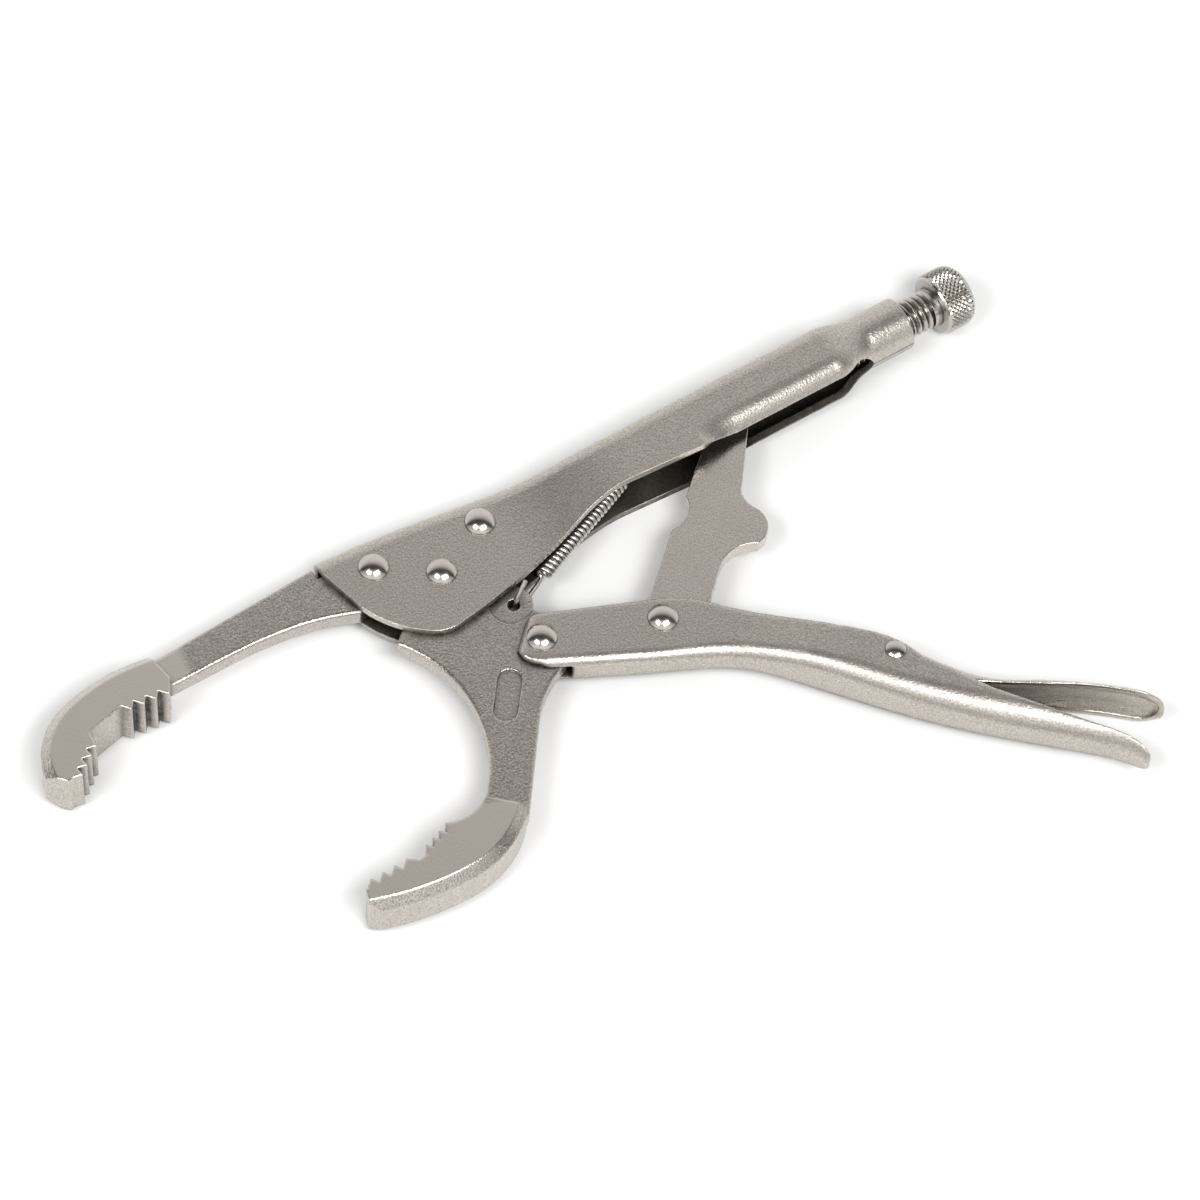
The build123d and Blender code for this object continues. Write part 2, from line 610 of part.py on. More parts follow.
def rivet_form(center, half_grip, shank, head, rise):
    """A rivet with a domed head on each side."""
    with BuildPart() as form:
        with BuildSketch(Plane.XZ):
            with BuildLine():
                rim_z = half_grip + head_rim
                top_z = half_grip + rise
                dome_r = (head ** 2 + (rise - head_rim) ** 2) / (2 * (rise - head_rim))
                sides = Polyline((head, -rim_z), (head, -half_grip), (shank, -half_grip), (shank, half_grip),
                                 (head, half_grip), (head, rim_z))
                upper = RadiusArc(sides @ 1, (0, top_z), -dome_r)
                middle = Line(upper @ 1, (0, -top_z))
                RadiusArc(middle @ 1, sides @ 0, -dome_r)
            make_face()
        revolve(axis=Axis.Z)
    return form.part.moved(Location((*center, 0)))


# Rivets
wall_z = front_width / 2
with BuildPart() as front_jaw_rivet:
    add(rivet_form(front_rivet, wall_z, shank_r, head_r, head_rise))
with BuildPart() as rear_jaw_rivet:
    add(rivet_form(rear_rivet, wall_z, shank_r, head_r, head_rise))
with BuildPart() as jaw_pivot_rivet:
    add(rivet_form((0, 0), wall_z, shank_r, head_r, head_rise))
with BuildPart() as handle_pivot_rivet:
    add(rivet_form(handle_pivot, wall_z, shank_r, head_r, head_rise))
with BuildPart() as link_pivot_rivet:
    add(rivet_form(link_pivot, wall_z, shank_r, head_r, head_rise))
with BuildPart() as release_pivot_rivet:
    add(rivet_form(release_pivot, grip_width / 2, small_shank_r, small_head_r, small_head_rise))


# Tension spring between the lug and the tab: hook, coil and hook in one wire
spring_run = Vector(spring_anchor[0] - spring_hole[0], spring_anchor[1] - spring_hole[1], 0)
spring_span = spring_run.length
spring_dir = spring_run.normalized()
spring_side = Vector(-spring_dir.Y, spring_dir.X, 0)
coil_length = coil_turns * coil_pitch
coil_start = (spring_span - coil_length) / 2 + 1.5
lug_half = jaw_plate / 2 - spot_depth
hook_z = lug_half + hook_play + wire_r
hook_s = spring_hole_r - wire_r - 0.4


def spring_point(along, side, up):
    """A point given along the spring, sideways from its axis and upward."""
    return Vector(*spring_hole, 0) + spring_dir * along + spring_side * side + Vector(0, 0, up)


def coil_station(half):
    """Point and direction on the coil after so many half turns."""
    turn = radians(180 * half)
    point = spring_point(coil_start + coil_pitch * half / 2, coil_r * sin(turn), -coil_r * cos(turn))
    around = spring_side * cos(turn) + Vector(0, 0, 1) * sin(turn)
    heading = around * (2 * pi * coil_r) + spring_dir * coil_pitch
    return point, heading.normalized()


def biarc(start, start_dir, end, end_dir):
    """Middle point and middle direction of the two arcs that join two stations."""
    span = end - start
    both = start_dir + end_dir
    bend = 2 * (1 - start_dir.dot(end_dir))
    lean = span.dot(both)
    if bend < 1e-9:
        reach = span.dot(span) / (4 * span.dot(end_dir))
    else:
        reach = (-lean + (lean * lean + bend * span.dot(span)) ** 0.5) / bend
    first = start + start_dir * reach
    second = end - end_dir * reach
    return (first + second) * 0.5, (second - first).normalized()


# Stations of the wire: front hook, coil, rear hook
up = Vector(0, 0, 1)
ahead = Vector(1, 0, 0)
hook_turn = hook_s + hook_bend
tab_under = spring_anchor[1] - tab_drop - hook_play - wire_r
rear_bend = (spring_anchor[1] - tab_under) / 2
rear_x = spring_anchor[0] + sheet / 2 + 1.2
end_dir = spring_dir * -cos(radians(hook_rise)) - up * sin(radians(hook_rise))
end_turn = hook_bend * tan(radians(90 - hook_rise) / 2)
end_corner = spring_point(hook_s, 0, hook_z - hook_play)
stations = [
    (end_corner - end_dir * hook_end, end_dir),
    (end_corner - end_dir * end_turn, end_dir),
    (end_corner - up * end_turn, -up),
    (spring_point(hook_s, 0, hook_bend - hook_z), -up),
    (spring_point(hook_turn, 0, -hook_z), spring_dir),
    (spring_point(5.2, 0, -hook_z), spring_dir),
]
stations += [coil_station(half) for half in range(2 * coil_turns + 1)]
stations += [
    (Vector(spring_anchor[0] - sheet / 2 - 0.8, spring_anchor[1], 0), ahead),
    (Vector(rear_x, spring_anchor[1], 0), ahead),
    (Vector(rear_x + rear_bend, spring_anchor[1] - rear_bend, 0), Vector(0, -1, 0)),
    (Vector(rear_x, tab_under, 0), -ahead),
    (Vector(spring_anchor[0] - sheet / 2 - 1.6, tab_under, 0), -ahead),
]

with BuildPart() as jaw_spring:
    with BuildLine() as wire:
        for (start, start_dir), (end, end_dir) in zip(stations, stations[1:]):
            chord = (end - start).normalized()
            if chord.dot(start_dir) > 0.999999 and chord.dot(end_dir) > 0.999999:
                Line(start, end)
            else:
                middle, middle_dir = biarc(start, start_dir, end, end_dir)
                TangentArc(start, middle, tangent=start_dir)
                TangentArc(middle, end, tangent=middle_dir)
    with BuildSketch(Plane(origin=stations[0][0], z_dir=stations[0][1])):
        Circle(wire_r)
    sweep(path=wire.line)

# Least gap of the spring to itself, on points along its wire
trail = []
for edge in wire.wires()[0].order_edges():
    steps = max(2, round(edge.length / 0.25))
    trail += [edge.position_at(step / steps) for step in range(steps)]
walked = [0.0]
for before, after in zip(trail, trail[1:]):
    walked.append(walked[-1] + (after - before).length)
apart = 2.5 * coil_r     # points closer than this along the wire are neighbours
own_gap = min((trail[i] - trail[j]).length - 2 * wire_r
              for i in range(len(trail)) for j in range(i + 1, len(trail)) if walked[j] - walked[i] > apart)
print("least gap of the spring to itself:", round(own_gap, 3), "mm")

# All pieces, moved together onto the origin
pieces = {
    "fixed_handle": fixed_handle, "fixed_jaw": fixed_jaw, "front_jaw_rivet": front_jaw_rivet,
    "rear_jaw_rivet": rear_jaw_rivet, "jaw_pivot_rivet": jaw_pivot_rivet, "moving_jaw": moving_jaw,
    "moving_handle": moving_handle, "handle_pivot_rivet": handle_pivot_rivet, "toggle_link": toggle_link,
    "link_pivot_rivet": link_pivot_rivet, "release_lever": release_lever,
    "release_pivot_rivet": release_pivot_rivet, "adjusting_screw": adjusting_screw, "jaw_spring": jaw_spring,
}
for label, piece in pieces.items():
    print(label, round(piece.part.volume, 1), len(piece.part.solids()), piece.part.is_valid)
boxes = [piece.part.bounding_box() for piece in pieces.values()]
low = [min(getattr(box.min, axis) for box in boxes) for axis in "XYZ"]
high = [max(getattr(box.max, axis) for box in boxes) for axis in "XYZ"]
origin = Vector(-(low[0] + high[0]) / 2, -(low[1] + high[1]) / 2, -low[2])
print("origin", origin, "size", [round(b - a, 2) for a, b in zip(low, high)])
os.makedirs("parts", exist_ok=True)
for label, piece in pieces.items():
    placed = piece.part.moved(Location(origin))
    placed.label = label
    export_step(placed, f"parts/{label}.step")
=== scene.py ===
import json
from math import cos, hypot, pi, radians, sin, sqrt

import bmesh
import bpy
from bpy.props import FloatProperty, FloatVectorProperty, IntProperty, PointerProperty
from mathutils import Matrix, Vector


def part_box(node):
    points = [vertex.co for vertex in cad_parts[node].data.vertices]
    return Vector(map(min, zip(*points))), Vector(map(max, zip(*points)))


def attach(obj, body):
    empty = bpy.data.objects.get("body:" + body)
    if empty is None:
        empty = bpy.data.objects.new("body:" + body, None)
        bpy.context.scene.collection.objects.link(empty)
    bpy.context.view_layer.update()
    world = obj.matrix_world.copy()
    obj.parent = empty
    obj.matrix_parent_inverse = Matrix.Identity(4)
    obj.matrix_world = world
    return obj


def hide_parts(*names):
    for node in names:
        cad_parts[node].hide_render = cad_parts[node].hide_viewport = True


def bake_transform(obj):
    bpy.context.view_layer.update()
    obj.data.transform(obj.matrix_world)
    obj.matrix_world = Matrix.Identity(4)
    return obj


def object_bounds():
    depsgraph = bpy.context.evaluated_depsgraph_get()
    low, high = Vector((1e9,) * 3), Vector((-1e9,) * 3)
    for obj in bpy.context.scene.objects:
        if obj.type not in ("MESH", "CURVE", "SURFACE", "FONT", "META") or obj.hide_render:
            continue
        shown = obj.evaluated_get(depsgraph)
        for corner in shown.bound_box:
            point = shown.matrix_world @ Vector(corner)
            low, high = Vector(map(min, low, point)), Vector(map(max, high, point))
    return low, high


bl_info = {
    "name": "Locking filter pliers",
    "version": (1, 0, 0),
    "blender": (4, 5, 0),
    "location": "3D View > Sidebar > Pliers",
    "description": "Finishes, thread, knurl and spring of a pair of plated locking pliers",
    "category": "Object",
}

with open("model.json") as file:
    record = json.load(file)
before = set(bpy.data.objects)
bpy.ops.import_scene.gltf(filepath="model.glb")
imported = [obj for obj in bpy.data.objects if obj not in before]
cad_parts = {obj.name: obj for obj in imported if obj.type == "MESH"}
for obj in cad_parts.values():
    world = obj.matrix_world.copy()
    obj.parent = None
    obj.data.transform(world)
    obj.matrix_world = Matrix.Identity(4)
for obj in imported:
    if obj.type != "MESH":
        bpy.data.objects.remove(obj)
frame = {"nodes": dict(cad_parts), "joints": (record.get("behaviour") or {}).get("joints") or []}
CAD_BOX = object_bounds()
SENSOR_WIDTH = 36.0                 # of the camera, in millimetres
PHOTO_WIDTH = 1200.0                # of the photograph, in pixels


def joint_place(name):
    """Where a joint turns, in the shared frame."""
    return Vector(next(joint for joint in frame["joints"] if joint["name"] == name)["pos_m"])


# The jaw pivot on the tool's mid plane: the spring's places are given from here, as on the drawing
JAW_PIVOT = joint_place("jaw_pivot")

# The grip and the release lever lie along one run; these stretches of it start at the handle's pivot
HANDLE_PIVOT = joint_place("handle_pivot")
GRIP_ANGLE = radians(-47)
GRIP_RUN = Vector((cos(GRIP_ANGLE), sin(GRIP_ANGLE), 0))
GRIP_SIDE = Vector((-GRIP_RUN.y, GRIP_RUN.x, 0))
GRIP_EARS_END = (0.026, 0.040)      # the moving handle's fold leaves its radius on the drawing
GRIP_TAIL = (0.045, 0.120)          # and grows to its radius at the tail
LEVER_WALLS_END = (0.115, 0.129)    # the release lever's walls lose their depth
LEVER_DISH = (0.105, 0.130)         # its fold grows to the tongue's radius
LEVER_SPREAD = (0.108, 0.130)       # and it widens
LEVER_CELL = 0.85                   # its mesh cells, against the moving handle's
STATION = 0.001                     # spacing along the run at which a channel's extents are taken

# The adjusting screw
SCREW_LOW, SCREW_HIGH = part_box("adjusting_screw")
SCREW_AXIS = Vector((0, (SCREW_LOW.y + SCREW_HIGH.y) / 2, (SCREW_LOW.z + SCREW_HIGH.z) / 2))
KNOB_RADIUS = (SCREW_HIGH.y - SCREW_LOW.y) / 2
KNOB_CHAMFER = 0.0005               # along the screw, at both ends of the knob


def on_tool(x, y):
    """A point given in millimetres from the jaw pivot, in the shared frame."""
    return JAW_PIVOT + Vector((x, y, 0)) * 0.001


class FinishSettings(bpy.types.PropertyGroup):
    """Colours and surface of the plated steel."""
    handle_colour: FloatVectorProperty(
        name="Handles", description="Blasted and plated steel of both handles",
        subtype="COLOR", size=3, min=0, max=1, default=(0.5, 0.462, 0.418))
    jaw_colour: FloatVectorProperty(
        name="Jaws", description="Forged and plated jaws",
        subtype="COLOR", size=3, min=0, max=1, default=(0.46, 0.425, 0.385))
    link_colour: FloatVectorProperty(
        name="Link", description="Stamped toggle link",
        subtype="COLOR", size=3, min=0, max=1, default=(0.59, 0.545, 0.495))
    lever_colour: FloatVectorProperty(
        name="Lever", description="Pressed release lever",
        subtype="COLOR", size=3, min=0, max=1, default=(0.53, 0.49, 0.44))
    rivet_colour: FloatVectorProperty(
        name="Rivets", description="Polished rivet heads",
        subtype="COLOR", size=3, min=0, max=1, default=(0.56, 0.52, 0.48))
    screw_colour: FloatVectorProperty(
        name="Screw", description="Bright plated screw and knob",
        subtype="COLOR", size=3, min=0, max=1, default=(0.53, 0.5, 0.46))
    spring_colour: FloatVectorProperty(
        name="Spring", description="Drawn spring wire",
        subtype="COLOR", size=3, min=0, max=1, default=(0.66, 0.63, 0.60))
    # Near-black colour of the painted shade in corners and, doubled, inside the channels; also of dirt
    grime_colour: FloatVectorProperty(
        name="GrimeAndShade", description="Oil and dirt left in the corners",
        subtype="COLOR", size=3, min=0, max=1, default=(0.02, 0.017, 0.014))
    rust_colour: FloatVectorProperty(
        name="Rust", description="Brown patches inside the folded handles",
        subtype="COLOR", size=3, min=0, max=1, default=(0.11, 0.06, 0.035))
    grain_size: FloatProperty(
        name="Grain size", description="Size of one dent of the blasted surface",
        unit="LENGTH", default=0.00058, min=0.0001, max=0.002)
    ground_from: FloatProperty(
        name="Ground from", description="Distance from the jaw pivot where the jaws' ground heads begin",
        unit="LENGTH", default=0.0665, min=0.02, max=0.2)
    edge_round: FloatProperty(
        name="Edge rounding", description="Rounding left on sheared edges by blasting",
        unit="LENGTH", default=0.0005, min=0.0001, max=0.002)


class ScrewSettings(bpy.types.PropertyGroup):
    """Thread and knob of the adjusting screw."""
    thread_pitch: FloatProperty(
        name="Thread pitch", description="Travel of the screw in one turn",
        unit="LENGTH", default=0.00175, min=0.0008, max=0.003)
    thread_radius: FloatProperty(
        name="Thread radius", description="Radius over the thread's crests",
        unit="LENGTH", default=0.005, min=0.002, max=0.01)
    thread_depth: FloatProperty(
        name="Thread depth", description="From crest to root",
        unit="LENGTH", default=0.0009, min=0.0003, max=0.002)
    knob_length: FloatProperty(
        name="Knob length", description="Length of the knurled knob",
        unit="LENGTH", default=0.0089, min=0.004, max=0.03)
    knob_spread: FloatProperty(
        name="Knob spread", description="How much larger the knob is round than on the drawing",
        default=1.11)
    neck_length: FloatProperty(
        name="Neck length", description="Smooth length of the shank before the knob",
        unit="LENGTH", default=0.0022, min=0.0005, max=0.01)
    knob_round: FloatProperty(
        name="Knob rounding", description="Rounding of the knob's outer end",
        unit="LENGTH", default=0.0014, min=0.0002, max=0.003)
    knurl_around: IntProperty(
        name="Knurls around", description="Diamonds in one row round the knob",
        default=34, min=12, max=90)
    knurl_rows: IntProperty(
        name="Knurl rows", description="Rows of diamonds along the knob",
        default=6, min=2, max=20)
    knurl_height: FloatProperty(
        name="Knurl height", description="Height of one pyramid",
        unit="LENGTH", default=0.0005, min=0.0001, max=0.001)


class SpringSettings(bpy.types.PropertyGroup):
    """The tension spring between the moving jaw and the fixed handle."""
    wire_radius: FloatProperty(
        name="Wire radius", description="Radius of the spring's wire",
        unit="LENGTH", default=0.0006, min=0.0002, max=0.001)
    coil_radius: FloatProperty(
        name="Coil radius", description="Radius to the middle of the wire",
        unit="LENGTH", default=0.00155, min=0.0008, max=0.004)
    coil_pitch: FloatProperty(
        name="Coil pitch", description="Length of one turn along the spring",
        unit="LENGTH", default=0.00146, min=0.0008, max=0.004)
    coil_turns: IntProperty(
        name="Turns", description="Turns between the two hooks", default=23, min=4, max=60)


class PressingSettings(bpy.types.PropertyGroup):
    """Rounded forms of the moving handle and the release lever."""
    cell: FloatProperty(
        name="Cell", description="Size of the small faces that the pressed forms are made of",
        unit="LENGTH", default=0.00045, min=0.0002, max=0.002)
    fold_cad: FloatProperty(
        name="Fold on the drawing", description="Outer radius of the moving handle's fold on the drawing",
        unit="LENGTH", default=0.0026)
    fold_front: FloatProperty(
        name="Fold at the front", description="Outer radius of the moving handle's fold behind its ears",
        unit="LENGTH", default=0.0036)
    fold_tail: FloatProperty(
        name="Fold at the tail", description="Outer radius of the moving handle's fold at its tail",
        unit="LENGTH", default=0.0071)
    end_cad: FloatProperty(
        name="End on the drawing", description="Radius of the moving handle's end, in plan, on the drawing",
        unit="LENGTH", default=0.004)
    end_round: FloatProperty(
        name="End rounding", description="Radius of the moving handle's end, in plan",
        unit="LENGTH", default=0.0055)
    tip_length: FloatProperty(
        name="Tip length", description="Length of the moving handle's tip that turns outward",
        unit="LENGTH", default=0.012)
    tip_flare: FloatProperty(
        name="Tip flare", description="How far the moving handle's tip turns outward",
        unit="LENGTH", default=0.0022)
    tongue_cad: FloatProperty(
        name="Lever fold on the drawing",
        description="Outer radius of the release lever's fold on the drawing",
        unit="LENGTH", default=0.003)
    lever_sheet: FloatProperty(
        name="Lever sheet", description="Thickness of the release lever's sheet",
        unit="LENGTH", default=0.0015)
    tongue_depth: FloatProperty(
        name="Tongue depth", description="Depth of the release lever's dished tongue over its edge",
        unit="LENGTH", default=0.0025)
    tongue_round: FloatProperty(
        name="Tongue rounding", description="Outer radius of the release lever's dished tongue",
        unit="LENGTH", default=0.0068)
    tongue_spread: FloatProperty(
        name="Tongue spread", description="How much wider the tongue is than on the drawing", default=1.1)


class StageSettings(bpy.types.PropertyGroup):
    """Camera and light of the photograph."""
    elevation: FloatProperty(
        name="Elevation", description="How steeply the camera looks down",
        subtype="ANGLE", default=radians(58.5))
    lean: FloatProperty(
        name="Lean", description="Tilt of the horizon in the picture",
        subtype="ANGLE", default=radians(5.0))
    yaw: FloatProperty(
        name="Turn", description="Turn of the tool on the floor",
        subtype="ANGLE", default=radians(37.18))
    distance: FloatProperty(
        name="Distance", description="Camera to the jaw pivot",
        unit="LENGTH", default=1.2195)
    lens: FloatProperty(name="Lens", description="Focal length in millimetres", default=150.0)
    pivot_height: FloatProperty(
        name="Pivot height", description="Height over the mid plane of the point that is sighted",
        unit="LENGTH", default=0.0051)
    pivot_right: FloatProperty(
        name="Pivot right", description="Sighted point right of the picture's middle, in pixels of 1200",
        default=-158.2)
    pivot_up: FloatProperty(
        name="Pivot up", description="Sighted point above the picture's middle, in pixels of 1200",
        default=30.0)
    key_power: FloatProperty(
        name="Key light", description="Power of the right softbox; the left one follows it",
        unit="POWER", default=18.5)
    room_light: FloatProperty(
        name="Room light", description="Brightness of the room round the tool", default=1.0, min=0)


# Shader helpers

def node(tree, kind, values=None, **options):
    """A node with its options set, and its inputs filled with plain values or linked to sockets."""
    made = tree.nodes.new(kind)
    for key, value in options.items():
        setattr(made, key, value)
    for key, value in (values or {}).items():
        if isinstance(value, bpy.types.NodeSocket):
            tree.links.new(value, made.inputs[key])
        else:
            made.inputs[key].default_value = value
    return made


def math(tree, operation, first, second=0.0):
    """A math node between two sockets or numbers."""
    return node(tree, "ShaderNodeMath", {0: first, 1: second}, operation=operation).outputs[0]


def span(tree, value, low, high, start=0.0, end=1.0):
    """Maps a value from one range onto another and clamps it."""
    values = {"Value": value, "From Min": low, "From Max": high, "To Min": start, "To Max": end}
    return node(tree, "ShaderNodeMapRange", values).outputs["Result"]


def noise(tree, place, scale, detail, rough, **more):
    """The strength of a noise over a place."""
    values = {"Vector": place, "Scale": scale, "Detail": detail, "Roughness": rough, **more}
    return node(tree, "ShaderNodeTexNoise", values).outputs["Fac"]


def upward(tree, vector):
    """The upward part of a vector."""
    return node(tree, "ShaderNodeSeparateXYZ", {0: vector}).outputs["Z"]


def tinted(colour, amount):
    """A colour made lighter or darker."""
    return tuple(min(1.0, part * amount) for part in colour)


def mix_colour(tree, amount, first, second):
    """One colour, a socket or a plain one, laid over another by a mask."""
    values = {"Factor": amount}
    for key, colour in (("A", first), ("B", second)):
        values[key] = colour if isinstance(colour, bpy.types.NodeSocket) else (*colour[:3], 1.0)
    return node(tree, "ShaderNodeMix", values, data_type="RGBA").outputs["Result"]


# Shared effects

def new_group(name, numbers, outputs):
    """A node group and what it is given: a place and some numbers. A normal is its only vector output."""
    group = bpy.data.node_groups.new(name, "ShaderNodeTree")
    group.interface.new_socket("Vector", in_out="INPUT", socket_type="NodeSocketVector")
    for label, default in numbers.items():
        socket = group.interface.new_socket(label, in_out="INPUT", socket_type="NodeSocketFloat")
        socket.default_value = default
    for label in outputs:
        kind = "NodeSocketVector" if label == "Normal" else "NodeSocketFloat"
        group.interface.new_socket(label, in_out="OUTPUT", socket_type=kind)
    return group, group.nodes.new("NodeGroupInput").outputs


def give(group, values):
    """Links a group's results to its outputs."""
    node(group, "NodeGroupOutput", values)
    return group


def blasted_grain():
    """Fine dents left by shot blasting: a height, and points that are lighter or darker."""
    group, given = new_group("blasted_grain", {"Scale": 2400.0}, ["Height", "Fleck"])
    dents = noise(group, given["Vector"], given["Scale"], 1.0, 0.5)
    points = noise(group, given["Vector"], math(group, "MULTIPLY", given["Scale"], 1.37), 2.0, 0.7)
    return give(group, {"Height": dents, "Fleck": span(group, points, 0.32, 0.68)})


def cloudy_tone():
    """Slow changes of tone over a plated surface, with a few faint stains."""
    group, given = new_group("cloudy_tone", {"Scale": 90.0}, ["Tone", "Stain"])
    clouds = noise(group, given["Vector"], given["Scale"], 4.0, 0.6)
    finer = math(group, "MULTIPLY", given["Scale"], 3.1)
    stains = noise(group, given["Vector"], finer, 6.0, 0.7, Distortion=0.6)
    return give(group, {"Tone": span(group, clouds, 0.3, 0.7), "Stain": span(group, stains, 0.62, 0.76)})


def worn_and_highlit_edges():
    """Rounded edges: a softened normal, and a mask of brighter edges, partly rubbed wear and partly a
    painted highlight.
    """
    group, given = new_group("worn_and_highlit_edges", {"Radius": 0.0005}, ["Normal", "Edge"])
    rounded = node(group, "ShaderNodeBevel", {"Radius": given["Radius"]}, samples=6).outputs["Normal"]
    surface = node(group, "ShaderNodeNewGeometry").outputs["Normal"]
    compare = node(group, "ShaderNodeVectorMath", {0: rounded, 1: surface}, operation="DOT_PRODUCT")
    bent = span(group, compare.outputs["Value"], 0.995, 0.86)
    broken = span(group, noise(group, given["Vector"], 900.0, 3.0, 0.65), 0.36, 0.58, 0.15, 1.0)
    return give(group, {"Normal": rounded, "Edge": math(group, "MULTIPLY", bent, broken)})


def corner_grime_and_shade():
    """Dirt, and painted shade where faces meet: ambient occlusion darkens the colour in corners and
    recesses.
    """
    group, given = new_group("corner_grime_and_shade", {"Reach": 0.006, "Onset": 0.62}, ["GrimeAndShade"])
    hollow = node(group, "ShaderNodeAmbientOcclusion", {"Distance": given["Reach"]}, samples=8)
    under = math(group, "SUBTRACT", given["Onset"], hollow.outputs["AO"])
    patchy = span(group, noise(group, given["Vector"], 420.0, 4.0, 0.65), 0.3, 0.65, 0.55, 1.0)
    return give(group, {"GrimeAndShade": math(group, "MULTIPLY", span(group, under, 0.0, 0.32), patchy)})


def shade_inside_channels():
    """Painted shade on faces that look into a folded channel, darkest where ambient occlusion finds little
    open space, and brown patches on them.
    """
    group, given = new_group("shade_inside_channels", {}, ["Inside", "Rust"])
    over = math(group, "SUBTRACT", upward(group, given["Vector"]), JAW_PIVOT.z)
    facing = upward(group, node(group, "ShaderNodeNewGeometry").outputs["Normal"])
    turned = span(group, math(group, "MULTIPLY", over, facing), -0.0008, -0.0022)
    deep = node(group, "ShaderNodeAmbientOcclusion", {"Distance": 0.03}, samples=6)
    shaded = span(group, deep.outputs["AO"], 0.42, 0.2)
    patches = noise(group, given["Vector"], 130.0, 5.0, 0.7)
    return give(group, {"Inside": math(group, "MULTIPLY", turned, shaded),
                        "Rust": span(group, patches, 0.52, 0.66)})


def ground_heads():
    """Where the jaws are ground smooth: their flat sides beyond a distance from the jaw pivot."""
    group, given = new_group("ground_heads", {"Distance": 0.07}, ["Ground"])
    away = node(group, "ShaderNodeVectorMath", {0: given["Vector"], 1: JAW_PIVOT}, operation="DISTANCE")
    past = math(group, "SUBTRACT", away.outputs["Value"], given["Distance"])
    facing = upward(group, node(group, "ShaderNodeNewGeometry").outputs["True Normal"])
    flat = span(group, math(group, "ABSOLUTE", facing), 0.9, 0.98)
    return give(group, {"Ground": math(group, "MULTIPLY", span(group, past, -0.001, 0.001), flat)})


def place_effect(tree, maker, place, values):
    """What a shared effect gives in a finish, with its own values; it is built the first time."""
    group = bpy.data.node_groups.get(maker.__name__) or maker()
    return node(tree, "ShaderNodeGroup", {"Vector": place, **values}, node_tree=group).outputs


# Finishes

def plated_steel(name, colour, finish, dent, grain=1.0, rough=0.26, fleck=0.26, edge=1.0,
                 grime_and_shade_reach=0.006, onset=0.62, ground=None, paint_inside_shade=False):
    """Plated steel with its grain, cloudy tone, rubbed edges with a painted highlight, and dirt with
    painted shade in its corners.
    """
    material = bpy.data.materials.new(name)
    material.use_nodes = True
    tree = material.node_tree
    shader = tree.nodes["Principled BSDF"]
    shader.inputs["Metallic"].default_value = 1.0
    place = node(tree, "ShaderNodeTexCoord").outputs["Object"]
    dents = place_effect(tree, blasted_grain, place, {"Scale": 1.0 / (finish.grain_size * grain)})
    tone = place_effect(tree, cloudy_tone, place, {"Scale": 95.0})
    edges = place_effect(tree, worn_and_highlit_edges, place, {"Radius": finish.edge_round * edge})
    dirt_and_shade = place_effect(tree, corner_grime_and_shade, place, {"Reach": grime_and_shade_reach, "Onset": onset})
    # Colour: flecks, ground faces or clouds, stains, painted shade with brown patches inside the channels,
    # edges brightened by rubbing and a painted highlight, then dirt and painted shade in the corners over
    # all
    light = mix_colour(tree, tone["Tone"], tinted(colour, 1 + 1.2 * fleck), tinted(colour, 1 + 1.6 * fleck))
    body = mix_colour(tree, dents["Fleck"], tinted(colour, 1 - fleck), light)
    height = dents["Height"]
    if ground:
        smooth = place_effect(tree, ground_heads, place, {"Distance": ground})["Ground"]
        body = mix_colour(tree, smooth, body, tinted(colour, 1.55))
        height = math(tree, "MULTIPLY", height, span(tree, smooth, 0.0, 1.0, 1.0, 0.12))
    else:
        cloud = mix_colour(tree, tone["Tone"], tinted(colour, 0.93), tinted(colour, 1.05))
        body = mix_colour(tree, math(tree, "MULTIPLY", tone["Tone"], 0.25), body, cloud)
    body = mix_colour(tree, math(tree, "MULTIPLY", tone["Stain"], 0.25), body, tinted(colour, 0.66))
    # Painted shade inside the channels: near black, with brown patches
    if paint_inside_shade:
        inside_shade = place_effect(tree, shade_inside_channels, place, {})
        inside_shade_colour = mix_colour(tree, inside_shade["Rust"], tinted(finish.grime_colour, 2.0), finish.rust_colour)
        body = mix_colour(tree, math(tree, "MULTIPLY", inside_shade["Inside"], 0.93), body, inside_shade_colour)
    # Brighter edges: rubbed wear, and a painted highlight along them
    body = mix_colour(tree, math(tree, "MULTIPLY", edges["Edge"], 0.7), body, tinted(colour, 1.45))
    # Painted shade in corners and recesses, darkened toward near black, with patchy dirt
    body = mix_colour(tree, math(tree, "MULTIPLY", dirt_and_shade["GrimeAndShade"], 0.96), body, finish.grime_colour)
    tree.links.new(body, shader.inputs["Base Color"])
    # Roughness: clouds, polished on the edges, dull in the dirty and shaded corners
    dull = span(tree, tone["Tone"], 0.0, 1.0, rough + 0.05, rough - 0.03)
    dull = math(tree, "SUBTRACT", dull, math(tree, "MULTIPLY", edges["Edge"], 0.08))
    dull = math(tree, "ADD", dull, math(tree, "MULTIPLY", dirt_and_shade["GrimeAndShade"], 0.3))
    tree.links.new(dull, shader.inputs["Roughness"])
    bump = node(tree, "ShaderNodeBump", {"Strength": 1.0, "Distance": dent, "Height": height,
                                         "Normal": edges["Normal"]})
    tree.links.new(bump.outputs["Normal"], shader.inputs["Normal"])
    return material


def dress(names, material):
    """Gives CAD nodes a finish."""
    for name in names:
        piece = frame["nodes"][name]
        if not piece.material_slots:
            piece.data.materials.append(material)
        for slot in piece.material_slots:
            slot.material = material


# Modelling helpers

def start_piece():
    """Leaves nothing selected before a new piece."""
    if bpy.context.object and bpy.context.object.mode != "OBJECT":
        bpy.ops.object.mode_set(mode="OBJECT")
    bpy.ops.object.select_all(action="DESELECT")


